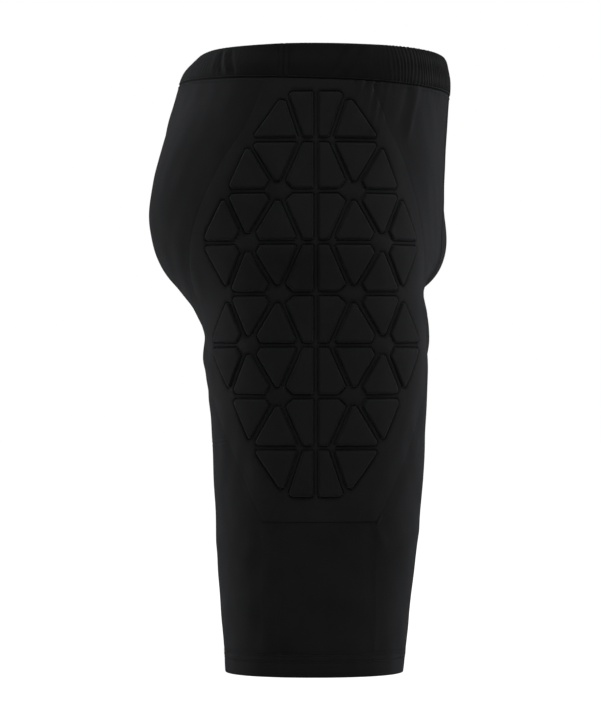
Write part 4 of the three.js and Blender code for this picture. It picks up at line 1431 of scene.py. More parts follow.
@dataclass
class HipPad:
    """The shield-shaped padded panel: stretch cloth quilted over foam tiles, lined inside."""

    pattern: Pattern
    drape: Drape
    quilt: Quilt
    rings: tuple[float, ...] = (1.1, 0.7, 0.35, 0.0, -0.4, -0.85, -1.4, -2.1, -3.0)
    wide: float = 236.0
    tall: float = 357.0
    stitch_pitch: float = 2.1
    mesh_pitch: float = 3.1
    room: float = 0.9
    step: float = 0.55
    step_width: float = 18.0
    puff: float = 1.75
    shoulder: float = 2.1
    channel_puff: float = 0.6
    hub_puff: float = 0.9
    hub_reach: tuple[float, float] = (7.5, 5.5)
    foam: float = 5.2
    thickness: float = 1.0
    sag_limit: float = 0.5
    settle_grid: tuple[int, int] = (165, 101)
    settle_steps: int = 10
    held_width: float = 1.3
    filled: float = 0.45

    def __post_init__(self) -> None:
        """Lays a coarse lattice over the panel's whole area."""
        pattern = self.pattern
        edge = (0.0, 0.7, 1.6, 3.2)
        self.columns = edged(self.wide, self.mesh_pitch, edge)
        self.rows = edged(self.tall, self.mesh_pitch, edge)
        self.arc, self.z = pattern.between(
            lambda u: np.full(u.shape, pattern.panel_bottom),
            lambda p, u: pattern.body.band_foot(p),
            pattern.back_edge,
            pattern.front_edge,
            60,
            36,
        )
        points = pattern.body.on_side(self.arc, self.z)
        self.lattice = np.concatenate([points, pattern.body.normal(points)], -1)

    def shares(self, arc: Array, z: Array) -> tuple[Array, Array]:
        """Shares up and across the panel of places on the cloth."""
        pattern = self.pattern
        start, end = pattern.back_edge(z), pattern.front_edge(z)
        across = (arc - start) / (end - start)
        top = np.interp(across, evenly(self.z.shape[1] - 1), self.z[-1])
        return (z - pattern.panel_bottom) / (top - pattern.panel_bottom), across

    def place(self, arc: Array, z: Array) -> Laid:
        """Puts places of the flat cloth on the body."""
        data = read_at(self.lattice, *self.shares(arc, z))
        return Laid(data[..., :3], unit(data[..., 3:6]), arc, z)

    def grid(self) -> tuple[Array, Array]:
        """Arcs and heights of the panel's plain grid, close together at its edges."""
        read = resample(np.stack([self.arc, self.z], -1), self.rows, self.columns)
        return read[..., 0], read[..., 1]

    def rim_distance(self, laid: Laid) -> Array:
        """How far places are inside the panel's edge."""
        pattern = self.pattern
        side = np.minimum(
            pattern.front_edge(laid.z) - laid.arc, laid.arc - pattern.back_edge(laid.z)
        )
        foot = pattern.body.band_foot(laid.points)
        ends = np.minimum(laid.z - pattern.panel_bottom, foot - laid.z)
        return np.maximum(0.0, np.minimum(side * 0.93, ends))

    def base(self, laid: Laid) -> Array:
        """Height of the cloth between the tiles."""
        rim = self.rim_distance(laid)
        ahead = lerp(0.3, 1.0, smooth(laid.arc, -40.0, 40.0))
        lift = self.step * ahead * smooth(rim, 0.0, self.step_width)
        roll = -0.12 * np.exp(-((rim / 0.9) ** 1.3))
        calm = 1.0 - 0.75 * smooth(rim, 4.0, 20.0)
        return lift + roll + calm * self.drape.height(laid)

    def quilted(self, laid: Laid, inside: Array, which: Array, hole: Array) -> Array:
        """Height of the quilting over the base.

        Args:
            laid: places on the cloth.
            inside: how far each one is inside its stitch line.
            which: the number of that line's tile.
            hole: 1 at a needle hole's turn of the line, 0 between two holes.

        Returns:
            The heights.
        """
        draw = np.random.default_rng(7)
        count = len(self.quilt.shapes())
        tall = draw.uniform(0.9, 1.08, count)
        lean = draw.normal(0, 0.012, (count, 2))
        t = np.clip(inside / self.shoulder, 0.0, 1.0)
        profile = np.sqrt(np.clip(1.0 - (1.0 - t) ** 2.3, 0.0, 1.0))
        crown = 0.30 * smooth(inside, 2.0, 12.0)
        centre = np.array([s.mean(axis=0) for s in self.quilt.shapes()])
        tilt = ((laid.uv - centre[which]) * lean[which]).sum(-1)
        height = profile * (tall[which] * self.puff + crown + tilt)
        height = height + self.channel_puff * (1.0 - np.exp(-((inside / 0.85) ** 2)))
        hubs = (laid.uv[..., None, :] - np.array(self.quilt.hubs())) / self.hub_reach
        dome = np.exp(-((hubs**2).sum(-1) ** 1.5)).max(-1)
        height = height + self.hub_puff * dome * smooth(-inside, 0.3, 3.0)
        pit = (0.1 + 1.5 * hole) * np.exp(-((inside / 0.65) ** 2))
        puckers = Unevenness(21, 5.2, 20)(laid.points) * np.exp(-(((inside - 1.2) / 1.3) ** 2))
        return height - pit + 0.09 * puckers

    def settled(self) -> Array | None:
        """Lets a coarse sheet of the cloth settle over the foam, held along its stitches.

        Returns:
            How far each point of a regular lattice over the panel moves.
        """
        rows, cols = self.settle_grid
        read = resample(np.stack([self.arc, self.z], -1), evenly(rows - 1), evenly(cols - 1))
        laid = self.place(read[..., 0], read[..., 1])
        inside, which = self.quilt.inside(laid.uv)
        height = self.base(laid) + self.quilted(laid, inside, which, np.zeros(inside.shape))
        start = laid.offset(height)
        index = np.arange(rows * cols).reshape(rows, cols)
        quads = np.stack([index[:-1, :-1], index[:-1, 1:], index[1:, 1:], index[1:, :-1]], -1)
        mesh = bpy.data.meshes.new("settling")
        corners = (start.reshape(-1, 3) * METRES).tolist()
        mesh.from_pydata(corners, [], quads.reshape(-1, 4).tolist())
        piece = bpy.data.objects.new("settling", mesh)
        bpy.context.scene.collection.objects.link(piece)
        group = piece.vertex_groups.new(name="sewn")
        held = np.exp(-((np.maximum(inside, 0.0) / self.held_width) ** 2))
        held = np.round(held, 1).ravel()
        for weight in np.unique(held):
            group.add(np.nonzero(held == weight)[0].tolist(), float(weight), "REPLACE")
        cloth = piece.modifiers.new("cloth", "CLOTH")
        for name, value in CLOTH_SETTINGS.items():
            setattr(cloth.settings, name, value)
        cloth.settings.effector_weights.gravity = 0.0
        cloth.settings.vertex_group_mass = "sewn"
        cloth.collision_settings.use_collision = False
        scene = bpy.context.scene
        for step in range(1, self.settle_steps + 1):
            scene.frame_set(step)
        shape = piece.evaluated_get(bpy.context.evaluated_depsgraph_get()).to_mesh()
        place = np.zeros(rows * cols * 3, np.float32)
        shape.vertices.foreach_get("co", place)
        scene.frame_set(1)
        moved = place.reshape(rows, cols, 3) / METRES - start
        bpy.data.objects.remove(piece)
        bpy.data.meshes.remove(mesh)
        size = np.linalg.norm(moved, axis=-1, keepdims=True)
        LOG.info("pad cloth settled by %.2f mm at most", float(size.max()))
        return moved * np.minimum(1.0, self.sag_limit / np.maximum(size, 1e-9))

    def turns(self, shape: Array) -> int:
        """Points round a tile's stitch line, two for each stitch."""
        line = rounded_line(shape, self.quilt.rounding)
        length = np.linalg.norm(np.diff(line, axis=0, append=line[:1]), axis=1).sum()
        return 2 * max(6, round(length / self.stitch_pitch))

    def flat_mesh(self) -> tuple[Array, Array, Array, Array, list[tuple[int, ...]]]:
        """Meshes the flat cloth: rings of points round every stitch line, a grid elsewhere.

        Returns:
            Places (arc, z), distances inside the stitch line, tile numbers, hole shares, faces.
        """
        arc, z = self.grid()
        count = arc.size
        places = [np.stack([arc, z], -1).reshape(-1, 2)]
        inside, which = self.quilt.inside(places[0])
        depth, tile, hole = [inside], [which], [np.zeros(count)]
        free = (inside < -self.rings[0] - self.room) | (inside > -self.rings[-1] + self.room)
        index = np.arange(count).reshape(arc.shape)
        rim = rim_of(index)
        free[rim] = True
        faces: list[tuple[int, ...]] = []
        loops = [rim]
        bands = []
        for number, shape in enumerate(self.quilt.shapes()):
            turns = self.turns(shape)
            first = count
            for grow in self.rings:
                places.append(rounded_line(shape, self.quilt.rounding, grow, turns))
                depth.append(np.full(turns, -grow))
                tile.append(np.full(turns, number))
                hole.append((np.arange(turns) % 2 == 0).astype(float))
            count += turns * len(self.rings)
            ring = first + np.arange(turns * len(self.rings)).reshape(len(self.rings), turns)
            near, far = ring, np.roll(ring, -1, axis=1)
            quads = np.stack([near[:-1], far[:-1], far[1:], near[1:]], -1).reshape(-1, 4)
            faces += [tuple(q) for q in quads.tolist()]
            loops += [ring[0], ring[-1]]
            bands.append((ring[0], ring[-1]))
        places = np.concatenate(places).astype(np.float32).astype(float)
        chosen = np.concatenate([np.nonzero(free)[0], *loops[1:]])
        number = {int(v): k for k, v in enumerate(chosen)}
        edges = [
            (number[int(a)], number[int(b)])
            for loop in loops
            for a, b in zip(loop, np.roll(loop, -1))
        ]
        corners = [Vector(p) for p in places[chosen].tolist()]
        made = delaunay_2d_cdt(corners, edges, [], 1, 1e-5, True)
        back = [chosen[ids[0]] if ids else -1 for ids in made[3]]
        triangles = np.array([[back[v] for v in f] for f in made[2]])
        middle = places[triangles].mean(axis=1)
        keep = (triangles >= 0).all(axis=1)
        keep &= within(places[rim], middle)
        for outer, inner in bands:
            keep &= ~(within(places[outer], middle) & ~within(places[inner], middle))
        faces += [tuple(f) for f in triangles[keep].tolist()]
        return places, np.concatenate(depth), np.concatenate(tile), np.concatenate(hole), faces

    def surface(self) -> Surface:
        """The whole closed pad: quilted face, rim and lining.

        Returns:
            The right-hand surface, its lining faces last.
        """
        places, inside, which, hole, faces = self.flat_mesh()
        laid = self.place(places[:, 0], places[:, 1])
        height = self.base(laid) + self.quilted(laid, inside, which, hole)
        outer = laid.offset(height)
        settled = self.settled()
        if settled is not None:
            loose = smooth(inside, 0.5, 3.0)[:, None]
            outer = outer + loose * read_at(settled, *self.shares(laid.arc, laid.z))
        # Painted shade: a colour factor that darkens the cloth a little along each stitch line and
        # almost to black at the needle holes, standing in for the shadow in the pits.
        stitch_shade = 1.0 - (0.06 + 0.94 * hole) * np.exp(-((inside / 1.0) ** 2))
        arc, z = self.grid()
        rough = self.place(arc, z)
        sunk = smooth(self.rim_distance(rough), 1.0, 14.0)
        under = self.base(rough) - self.thickness
        hang = 0.5 * Unevenness(31, 30.0)(rough.points)
        inner = rough.offset(lerp(under, -self.foam + hang, sunk))
        return self.closed(outer, inner, laid.uv, rough.uv, stitch_shade, faces)

    def closed(
        self,
        outer: Array,
        inner: Array,
        uv: Array,
        low_uv: Array,
        stitch_shade: Array,
        faces: list[tuple[int, ...]],
    ) -> Surface:
        """Joins the quilted face to the lining round the rim.

        Args:
            outer: points of the outer face, the plain grid's first.
            inner: the lining's grid of points.
            uv: cloth coordinates of the outer face.
            low_uv: cloth coordinates of the lining.
            stitch_shade: painted shade factor of each outer point, lowest at the needle holes.
            faces: faces of the outer face.

        Returns:
            The closed surface.
        """
        rows, cols = inner.shape[:2]
        grid = np.arange(rows * cols).reshape(rows, cols)
        low = grid + len(outer)
        rim = rim_of(grid)
        after = np.roll(rim, -1)
        wall = np.stack([rim, rim + len(outer), after + len(outer), after], 1)
        lining = np.stack([low[:-1, :-1], low[1:, :-1], low[1:, 1:], low[:-1, 1:]], -1)
        faces = [f if self.turns_left(uv, f) else tuple(reversed(f)) for f in faces]
        faces += [tuple(f) for f in wall.tolist()]
        start = len(faces)
        faces += [tuple(f) for f in lining.reshape(-1, 4).tolist()]
        used = np.zeros(len(outer) + rows * cols, bool)
        used[np.concatenate([np.array(f) for f in faces])] = True
        number = np.cumsum(used) - 1
        faces = [tuple(int(number[v]) for v in f) for f in faces]
        points = np.concatenate([outer, inner.reshape(-1, 3)])[used]
        coords = np.concatenate([uv, low_uv.reshape(-1, 2)])[used]
        # Painted shade factors of all points; the lining is left unshaded at 1.
        shade_factor = np.concatenate([stitch_shade, np.ones(rows * cols)])[used]
        return Surface(points, faces, coords, shade_factor, start).outward()

    @staticmethod
    def turns_left(uv: Array, face: tuple[int, ...]) -> bool:
        """Whether a face's corners run anticlockwise on the flat cloth."""
        a, b, c = uv[face[0]], uv[face[1]], uv[face[2]]
        return (b[0] - a[0]) * (c[1] - a[1]) - (b[1] - a[1]) * (c[0] - a[0]) > 0

    def stitch_lines(self) -> list[tuple[Array, Array, bool]]:
        """The quilting lines on the cloth, every second point a needle hole."""
        lines = []
        for shape in self.quilt.shapes():
            flat = rounded_line(shape, self.quilt.rounding, 0.0, self.turns(shape))
            laid = self.place(flat[:, 0], flat[:, 1])
            lines.append((laid.offset(self.base(laid) - 0.08), laid.normals, True))
        return lines

    def build(self) -> None:
        """Makes both pads and their quilting threads."""
        rows = [f"foam_row_{k + 1}" for k in range(self.quilt.rows)]
        surface = self.surface()
        thread = Thread(radius=0.27, length=1.35)
        threads = thread.sew("quilting", self.stitch_lines(), sewn=True)
        nodes = ["side_pad_panel", "pad_backing", *rows]
        for side in Side:
            piece = surface.on(side).make(f"hip_pad_{side.value}", [PADDED, LINING], 80.0)
            dress(piece, [f"{node}_{side.value}" for node in nodes])
            # The quilting threads take the thread colour painted lighter as a highlight.
            quilting = threads.on(side).make(f"quilting_{side.value}", [QUILTING_HIGHLIT], 30.0)
            dress(quilting)


# ---------------------------------------------------------------- the plain panels


@dataclass
class StretchPanels:
    """The stretch panels round the pad: front, seat, back of the leg, pouch and gusset."""

    pattern: Pattern
    drape: Drape
    thickness: float = 0.95
    pitch: float = 2.9
    centre_pitch: float = 2.6
    centre_arc: float = 300.0
    tongue: float = 0.07
    roll: float = 0.17

    def sheet(self, laid: Laid, cells: Array | None = None) -> Surface:
        """Closes a grid of the body into a draped sheet of cloth."""
        height = self.drape.height(laid) + edge_roll(laid.points, cells, self.roll)
        return closed_sheet(
            laid.offset(height), laid.offset(height - self.thickness), laid.uv, cells
        )

    def centre(self, coarse: Array, rows: Array, columns: Array) -> Laid:
        """Reads a lattice of points of a centre panel finely."""
        arc = coarse[..., 0] + self.centre_arc
        return self.pattern.finer(coarse, arc, coarse[..., 2], rows, columns)

    def centre_piece(
        self, name: str, laid: Laid, height: Array, nodes: Sequence[str], cut: Cut
    ) -> None:
        """Makes a centre panel.

        Args:
            name: the piece's name.
            laid: its grid on the body.
            height: how far its outer face stands off.
            nodes: the frame's nodes that it stands for, one for each layer of cloth.
            cut: its flat size.
        """
        inner = laid.offset(height - len(nodes) * self.thickness)
        piece = closed_sheet(laid.offset(height), inner, laid.uv).make(name, [STRETCH])
        dress(piece, nodes)
        cut.declare(piece)

    def leg_panel(
        self,
        edge: Callable[[Array], Array],
        inner: Callable[[Array], Array],
        high: Callable[[Array, Array], Array],
        tall: float,
        wide: float,
    ) -> Surface:
        """A panel beside the pad that also reaches under it to the side seam.

        Args:
            edge: arc of the pad's edge by height.
            inner: arc of the panel's inner edge by height.
            high: its upper edge, by point near the top and column share.
            tall: length of the part beside the pad, for the fineness of its grid.
            wide: width of that part.

        Returns:
            The closed sheet.
        """
        pattern = self.pattern
        bottom, foot = pattern.panel_bottom, pattern.hem_height
        u = evenly(14)
        corner = float(edge(np.array(bottom)))
        z = lerp(foot, bottom, evenly(12))[:, None] + 0 * u[None, :]
        main = lerp(edge(z), inner(z), u[None, :])
        rows, columns = edged(bottom - foot, self.pitch), edged(wide, self.pitch)
        cuff = pattern.lay(main, z, rows, columns)
        v = evenly(5)
        z = lerp(foot, bottom, evenly(12))[:, None] + 0 * v[None, :]
        arc = lerp(pattern.side_seam, corner, v)[None, :] + 0 * z
        reach = abs(corner - pattern.side_seam)
        side = edged(reach, self.pitch)
        side = side[side < 1 - 2.0 / reach]
        under = pattern.lay(arc, z, rows, side)
        arc, z = pattern.between(
            lambda w: np.full(w.shape, bottom), high, edge, inner, max(6, round(tall / 9)), 14
        )
        beside = pattern.lay(arc, z, edged(tall, self.pitch), columns)

        def joined(low: Array, corner_part: Array, up: Array) -> Array:
            """One grid of the three blocks; the upper left block isn't used."""
            filler = np.repeat(up[1:, :1], corner_part.shape[1], axis=1)
            return np.concatenate(
                [
                    np.concatenate([corner_part, low], axis=1),
                    np.concatenate([filler, up[1:]], axis=1),
                ]
            )

        laid = Laid(
            joined(cuff.points, under.points, beside.points),
            joined(cuff.normals, under.normals, beside.normals),
            joined(cuff.arc, under.arc, beside.arc),
            joined(cuff.z, under.z, beside.z),
        )
        cells = np.ones((laid.z.shape[0] - 1, laid.z.shape[1] - 1), bool)
        cells[len(rows) - 1 :, : len(side)] = False
        return self.sheet(laid, cells)

    def build(self) -> None:
        """Makes every plain panel."""
        pattern, body = self.pattern, self.pattern.body
        front = self.leg_panel(
            pattern.front_edge, pattern.front_inner, lambda p, u: body.band_foot(p), 350, 130
        )
        both_sides("front_cloth", front, [STRETCH], ["front_panel"], Cut(168, 452, 0.78))
        back = self.leg_panel(
            pattern.back_edge, pattern.back_inner, lambda p, u: pattern.thigh_seam(u), 58, 150
        )
        both_sides("back_leg", back, [STRETCH], ["back_leg_panel"], Cut(205, 168, 0.85))
        arc, z = pattern.between(
            pattern.thigh_seam, lambda p, u: body.band_foot(p),
            pattern.back_edge, pattern.back_inner, 100, 18,
        )
        seat = self.sheet(pattern.lay(arc, z, edged(305, self.pitch), edged(130, self.pitch)))
        both_sides("seat_cloth", seat, [STRETCH], ["seat_panel"], Cut(150, 300, 0.8))
        self._pouch()
        self._gusset()

    def _pouch(self) -> None:
        """Makes the shaped centre-front panel with its second layer."""
        share, across = np.meshgrid(evenly(40), 2 * evenly(16) - 1, indexing="ij")
        coarse = self.pattern.pouch_point(share, across)
        pitch = self.centre_pitch
        laid = self.centre(coarse, edged(190, pitch), edged(88, pitch))
        height = self.drape.height(laid) + edge_roll(laid.points)
        nodes = ["pouch_panel", "pouch_lining"]
        self.centre_piece("pouch", laid, height, nodes, Cut(84, 186, 0.8))

    def _gusset(self) -> None:
        """Makes the strip between the thighs, with a tongue that lies under the seat seam."""
        pattern = self.pattern
        last = pattern.fan_back + self.tongue
        beta, across = np.meshgrid(
            lerp(pattern.fan_front, last, evenly(30)), 2 * evenly(16) - 1, indexing="ij"
        )
        rows = edged(130, self.centre_pitch)
        coarse = pattern.gusset_point(beta, across)
        laid = self.centre(coarse, rows, edged(80, self.centre_pitch))
        past = lerp(pattern.fan_front, last, rows) - pattern.fan_back
        height = edge_roll(laid.points) - 1.2 * smooth(past, -0.015, 0.02)[:, None]
        self.centre_piece("gusset", laid, height, ["crotch_gusset"], Cut(76, 124, 0.75))


# ---------------------------------------------------------------- waistband and hems


@dataclass
class Waistband:
    """The casing gathered over the elastic, in a front and a back half."""

    pattern: Pattern
    drape: Drape
    thickness: float = 4.4
    rib_pitch: float = 4.2
    top_bow: float = 4.4
    creases: tuple[tuple[float, ...], ...] = (
        (3.5, 1, 1.6, -0.7),
        (40, 15, 2.6, -1.0),
        (47, 16, 2.2, 0.8),
        (54, 14, 2.2, -0.9),
        (66, 8, 3.0, 0.5),
    )
    front_ribs: tuple[float, float] = (60.0, 92.0)
    rear_ribs: tuple[float, float] = (38.0, 75.0)
    station: float = 0.6
    girth: float = 850.0

    def __post_init__(self) -> None:
        """Finds the side seams."""
        body = self.pattern.body
        at = np.array(self.pattern.side_seam)
        point = body.on_side(at, np.array(body.band_bottom))
        self.seam_angle = float(math.atan2(-point[0], -point[1]))

    def _forward(self, angle: Array) -> Array:
        """Share of the way to the front or the back of the band at angles from the front."""
        p = self.pattern.body.ring(angle, np.full(len(angle), self.pattern.body.band_bottom))
        return p[:, 1] / np.hypot(p[:, 0], p[:, 1])

    def section(self) -> tuple[Array, Array, Array]:
        """The casing's section, from its foot up the outside and down the inside.

        Returns:
            Height shares, offsets, and how much each corner takes part in the ribs.
        """
        up = np.concatenate([[0.0, 0.03, 0.07], np.linspace(0.12, 0.93, 17)])
        out = 0.55 * np.sin(np.pi * np.clip(up, 0, 1)) ** 0.8 + 0.5
        out = out - 1.2 * np.exp(-((up / 0.035) ** 1.2))
        turn = np.linspace(0.15, math.pi - 0.15, 8)
        half = self.thickness / 2
        top_share = 0.93 + 0.07 * np.sin(turn)
        top_out = (0.55 * math.sin(math.pi * 0.93) ** 0.8 + 0.5) - half + half * np.cos(turn)
        down = np.linspace(0.93, 0.0, 10)
        down_out = np.full(10, 0.6 - self.thickness)
        share = np.concatenate([up, top_share, down])
        offset = np.concatenate([out, top_out, down_out])
        ribs = np.concatenate([np.ones(len(up)), np.linspace(1, 0.5, 8), np.full(10, 0.5)])
        return share, offset, ribs

    def half(self, start: float, end: float) -> Surface:
        """One half of the band, between two angles from the front."""
        body = self.pattern.body
        share, offset, ribs = self.section()
        angle = np.linspace(start, end, 64)
        foot = body.band_foot(body.ring(angle, np.full(64, body.band_bottom)))
        head = body.top - self.top_bow * self._forward(angle) ** 2
        z = lerp(foot[:, None], head[:, None], evenly(7)[None, :])
        coarse = body.ring(angle[:, None], z)
        count = round(self.girth * (end - start) / (2 * math.pi) / self.station)
        stations = evenly(count)
        data = np.concatenate([coarse, body.normal(coarse)], -1)
        read = resample(data, stations, share)
        points, normals = read[..., :3], unit(read[..., 3:6])
        arc = run_along(points[:, 10])[:, None]
        y = points[:, 10, 1][:, None]
        front, rear = smooth(-y, *self.front_ribs), smooth(y, *self.rear_ribs)
        strength = 0.03 + 0.42 * front + 0.06 * rear
        wander = Unevenness(41, 34.0)(points)
        phase = 2 * math.pi * arc / self.rib_pitch + 2.2 * wander + 0.5 * share[None, :]
        ripple = np.sin(phase) + 0.35 * np.sin(phase * 0.51 + 1.0)
        upright = 0.55 + 0.45 * np.cos(2 * math.pi * np.clip(share, 0, 1))[None, :] ** 2
        lift = strength * ripple * upright
        end_of = np.minimum(arc, arc[-1] - arc)
        seam = -0.8 * np.exp(-((end_of / 0.9) ** 1.2))
        seam = seam + 0.5 * np.exp(-(((end_of - 2.2) / 1.2) ** 2))
        bump = 0.9 * np.exp(-((end_of / 3.5) ** 2)) * np.exp(-((share[None, :] / 0.22) ** 2))
        crease = self._creases(end_of, share[None, :])
        total = offset[None, :] + ribs[None, :] * (lift + seam + bump + crease)
        total = total + 0.35 * self.drape.slow(points)
        rings = points + normals * total[..., None]
        uv = np.stack([arc + 0 * share[None, :], points[..., 2]], -1)
        return swept(rings, uv, False)

    def _creases(self, arc: Array, share: Array) -> Array:
        """Slanting creases ahead of the side seam."""
        total = 0.0 * (arc + share)
        for start, lean, width, height in self.creases:
            line = start + lean * share
            fade = smooth(share, 0.05, 0.3) * (1 - smooth(share, 0.7, 0.95))
            total = total + height * fade * np.exp(-(((arc - line) / width) ** 2))
        return total

    def build(self) -> None:
        """Makes both halves."""
        whole = 2 * math.pi
        front = self.half(-self.seam_angle, self.seam_angle)
        front = front.make("waistband_casing_front", [CASING])
        dress(front, ["waistband_front", "waist_elastic"])
        Cut(34, 470, held="gathered").declare(front)
        back = self.half(self.seam_angle, whole - self.seam_angle)
        back = back.make("waistband_casing_back", [CASING])
        dress(back, ["waistband_back"])
        Cut(34, 400, held="gathered").declare(back)


@dataclass
class LegHem:
    """The folded leg hem with its twin rows of stitches."""

    pattern: Pattern
    drape: Drape
    thickness: float = 1.9
    rows: tuple[float, float] = (18.0, 12.5)
    station: float = 1.5
    girth: float = 440.0

    def surface(self) -> Surface:
        """The right hem as a closed ring."""
        body, height = self.pattern.body, self.pattern.hem_height
        up = np.concatenate([np.linspace(0.9, 10.5, 8), np.arange(11.3, 20.01, 0.58)])
        up[-1] = height
        turn = np.linspace(0, math.pi, 7)[1:-1]
        fold = 0.9 - 0.9 * np.sin(turn)
        down = np.array([1.2, 7.0, 13.0, height])
        z = np.concatenate([up, down[::-1], fold[::-1]])
        round_fold = (np.cos(turn[::-1]) - 1) * self.thickness / 2
        out = np.concatenate([0 * up, 0 * down - self.thickness, round_fold])
        outside = np.concatenate([0 * up + 1, 0 * down, 0 * turn + 0.4])
        grooves = sum(np.exp(-(((z - row) / 0.55) ** 2)) for row in self.rows)
        puff = 0.22 * np.exp(-(((z - 15.2) / 1.6) ** 2)) + 0.12 * np.exp(-(((z - 6) / 4) ** 2))
        count = round(self.girth / self.station)
        phi = np.linspace(-math.pi, math.pi, count, endpoint=False)[:, None] + 0 * z[None, :]
        levels = np.broadcast_to(z[None, :], phi.shape)
        points = body.around(phi, levels)
        normals = body.normal(points)
        arc = body.arc_at(phi, levels)
        laid = Laid(points, normals, arc, levels)
        worn = self.drape.height(laid) * smooth(levels, -8.0, 20.0)
        ripple = 0.07 * np.sin(arc * 2 * math.pi / 2.7) * grooves[None, :]
        seam = 0.75 * np.exp(-(((arc - self.pattern.side_seam) / 2.4) ** 2))
        face = outside[None, :] * (-0.3 * grooves[None, :] + puff[None, :] + ripple + seam)
        total = out[None, :] + worn + face
        rings = points + normals * total[..., None]
        return swept(rings, laid.uv, True)

    def build(self) -> None:
        """Makes both hems."""
        both_sides("leg_hem", self.surface(), [STRETCH], ["hem"], Cut(22, 420, held="folded"))


# ---------------------------------------------------------------- seams


@dataclass
class Seams:
    """The rows of thread that show along the seams."""

    pattern: Pattern
    drape: Drape
    hem: LegHem

    def row(self, arc: Array, z: Array, lift: float = -0.05, closed: bool = False) -> tuple:
        """A row of thread on the right half, along arcs and heights."""
        arc, z = np.broadcast_arrays(np.asarray(arc, float), np.asarray(z, float))
        points = self.pattern.body.on_side(arc, z)
        laid = Laid(points, self.pattern.body.normal(points), arc, z)
        return laid.offset(self.drape.height(laid) + lift), laid.normals, closed

    def leg_rows(self) -> list[tuple]:
        """Rows that the left leg mirrors."""
        pattern, body = self.pattern, self.pattern.body
        rows = []
        u = evenly(60)
        z = pattern.thigh_seam(u)
        for away in (-1.7, 1.7):
            start, end = pattern.back_edge(z) - 2.0, pattern.back_inner(z) + 2.0
            rows.append(self.row(lerp(start, end, u), z + away, -0.15))
        z = np.linspace(pattern.heel_top + 3, body.band_bottom - 1, 90)
        rows.append(self.row(pattern.back_inner(z) + 2.0, z, -0.18))
        z = np.linspace(pattern.gusset_low - 3, pattern.hem_height + 1, 90)
        for edge, away in ((pattern.front_inner, -1.8), (pattern.back_inner, 1.8)):
            rows.append(self.row(edge(z) + away, z, -0.18))
        share = np.linspace(0.015, 0.985, 90)
        pouch = pattern.pouch_point(share, -np.ones(90))
        phi = body.phi_of(pouch)
        arc = body.arc_at(np.where(phi < 0, phi + 2 * math.pi, phi), pouch[:, 2])
        rows.append(self.row(arc - 2.0, pouch[:, 2], -0.15))
        inside = pattern.pouch_point(share, -(1 - 2.0 / np.linspace(44, 9, 90)))
        rows.append((inside + body.normal(inside) * 0.45, body.normal(inside), False))
        return rows

    def hem_rows(self) -> list[tuple]:
        """The twin rows of the hem."""
        body = self.pattern.body
        rows = []
        phi = np.linspace(-math.pi, math.pi, 300, endpoint=False)
        for z in self.hem.rows:
            points = body.around(phi, np.full(300, z))
            arc = body.arc_at(phi, np.full(300, z))
            laid = Laid(points, body.normal(points), arc, points[:, 2])
            worn = self.drape.height(laid) * smooth(laid.z, -8.0, 20.0)
            seam = 0.75 * np.exp(-(((laid.arc - self.pattern.side_seam) / 2.4) ** 2))
            rows.append((laid.offset(worn + seam - 0.1), laid.normals, True))
        return rows

    def band_rows(self) -> list[tuple]:
        """The rows along the waistband's foot, all the way round."""
        body = self.pattern.body
        angle = np.linspace(0, 2 * math.pi, 500, endpoint=False)
        foot = body.band_foot(body.ring(angle, np.full(500, body.band_bottom)))
        rows = []
        for up, out in ((1.7, 0.62), (-1.5, 0.35)):
            points = body.ring(angle, foot + up)
            points = points + body.normal(points) * (out + 0.35 * self.drape.slow(points))[:, None]
            rows.append((points, body.normal(points), True))
        return rows

    def bartacks(self) -> list[tuple]:
        """Short dense stitches at the pad's lower front corner."""
        across = np.array([-1.3, 0.0, 1.3])
        corner, foot = 53.5, self.pattern.panel_bottom + 1.0
        return [
            self.row(corner + 0.5 * at + 0.9 * across, foot + at - 0.5 * across, 0.6)
            for at in (np.arange(15) - 7) * 0.55
        ]

    def build(self) -> None:
        """Makes the rows of both legs and the waistband's."""
        fine = Thread(radius=0.30, length=2.1, pitch=2.5)
        legs = fine.sew("leg seams", self.leg_rows())
        hems = Thread(radius=0.32, length=2.3, pitch=2.7).sew("hems", self.hem_rows())
        tacks = Thread(radius=0.28, length=2.7, pitch=2.7).sew("bartacks", self.bartacks())
        for side in Side:
            for name, rows in (("seam_threads", legs), ("hem_threads", hems), ("bartacks", tacks)):
                piece = rows.on(side).make(f"{name}_{side.value}", [THREAD], 30.0)
                dress(piece)
        band = Thread(radius=0.30, length=2.2, pitch=2.6).sew("waistband foot", self.band_rows())
        dress(band.make("waistband_threads", [THREAD], 30.0))


# ---------------------------------------------------------------- studio


@dataclass(frozen=True)
class Lamp:
    """A soft box: its place and its size in metres, and its watts."""

    name: str
    at: tuple[float, float, float]
    size: tuple[float, float]
    power: float

    def make(self, target: tuple[float, float, float]) -> None:
        """Hangs the soft box, turned to the target."""
        data = bpy.data.lights.new(self.name, "AREA")
        data.shape = "RECTANGLE"
        data.size, data.size_y = self.size
        data.energy = self.power
        lamp = bpy.data.objects.new(self.name, data)
        lamp.location = self.at
        way = np.array(target) - np.array(self.at)
        lamp.rotation_euler = Vector(way).to_track_quat("-Z", "Y").to_euler()
        bpy.context.scene.collection.objects.link(lamp)


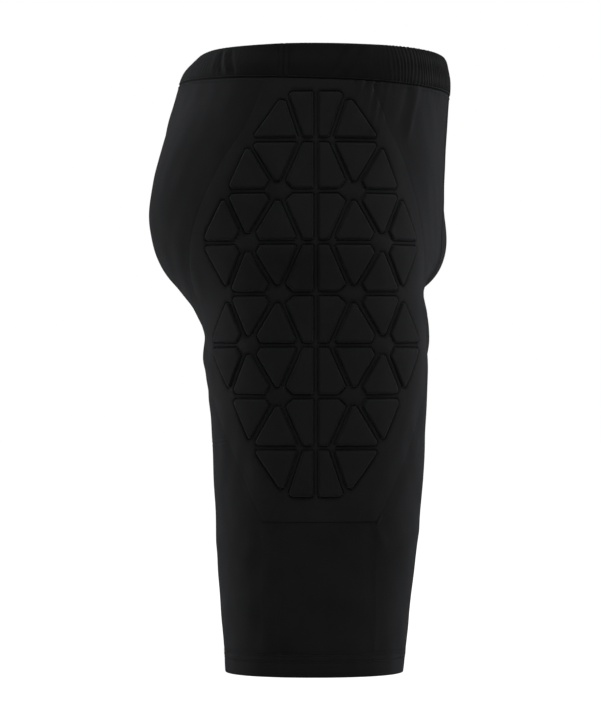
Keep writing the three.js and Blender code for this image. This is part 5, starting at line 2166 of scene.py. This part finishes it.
@dataclass
class Studio:
    """Camera, lights and floor."""

    distance: float = 3.5
    aside: float = -0.0008
    eye: float = 0.275
    lens: float = 206.9
    shift: float = -0.0337
    floor_size: float = 14.0
    floor_glow: float = 0.93
    ambient: float = 0.12
    middle: tuple[float, float, float] = (0.0, 0.0, 0.26)
    lamps: tuple[Lamp, ...] = (
        Lamp("front_box", (0.8, -2.4, 1.3), (1.2, 1.8), 5.8),
        Lamp("back_box", (1.0, 2.4, 0.9), (1.2, 1.8), 8.0),
        Lamp("overhead", (-1.2, -0.5, 2.6), (1.6, 1.6), 15.0),
    )

    def camera(self) -> None:
        """Looks at the wearer's right side, level with the thigh."""
        data = bpy.data.cameras.new("camera")
        data.lens = self.lens
        data.shift_y = self.shift
        data.clip_end = 60.0
        camera = bpy.data.objects.new("camera", data)
        camera.location = (-self.distance, self.aside, self.eye)
        camera.rotation_euler = (math.pi / 2, 0.0, -math.pi / 2)
        bpy.context.scene.collection.objects.link(camera)
        bpy.context.scene.camera = camera

    def seen(self, tree: bpy.types.NodeTree) -> bpy.types.NodeSocket:
        """1 where the camera looks straight at the surface, 0 for light that bounces."""
        return add_node(tree, "LightPath", {}).outputs["Is Camera Ray"]

    def floor(self) -> None:
        """A plain pale floor."""
        deselect()
        bpy.ops.mesh.primitive_plane_add(size=self.floor_size)
        floor = bpy.context.object
        floor.name = "floor"
        material = bpy.data.materials.new("floor_paper")
        material.use_nodes = True
        tree = material.node_tree
        inputs = {0: self.seen(tree), 1: self.floor_glow}
        glow = add_node(tree, "Math", inputs, operation="MULTIPLY").outputs[0]
        finish = {
            "Base Color": (0.93, 0.93, 0.93, 1.0),
            "Roughness": 0.9,
            "Specular IOR Level": 0.1,
            "Emission Color": (1.0, 1.0, 1.0, 1.0),
            "Emission Strength": glow,
        }
        set_inputs(tree, tree.nodes["Principled BSDF"], finish)
        floor.data.materials.append(material)

    def build(self) -> None:
        """Sets up the whole studio."""
        self.camera()
        self.floor()
        world = bpy.data.worlds.new("studio")
        bpy.context.scene.world = world
        world.use_nodes = True
        tree = world.node_tree
        inputs = {"Value": self.seen(tree), "To Min": self.ambient, "To Max": 1.0}
        strength = add_node(tree, "MapRange", inputs).outputs["Result"]
        white = {"Color": (1.0, 1.0, 1.0, 1.0), "Strength": strength}
        set_inputs(tree, tree.nodes["Background"], white)
        bpy.context.scene.view_settings.view_transform = "Standard"
        for lamp in self.lamps:
            lamp.make(self.middle)


# ---------------------------------------------------------------- the whole pair


def main() -> None:
    """Builds the shorts on the frame and the studio round them."""
    logging.basicConfig(level=logging.INFO, format="%(message)s")
    Studio().build()
    body = Body()
    pattern = Pattern(body)
    drape = Drape(pattern)
    quilt = Quilt(top=pattern.pad_top)
    HipPad(pattern, drape, quilt).build()
    StretchPanels(pattern, drape).build()
    Waistband(pattern, drape).build()
    hem = LegHem(pattern, drape)
    hem.build()
    Seams(pattern, drape, hem).build()
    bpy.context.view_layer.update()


if __name__ == "__main__":
    main()
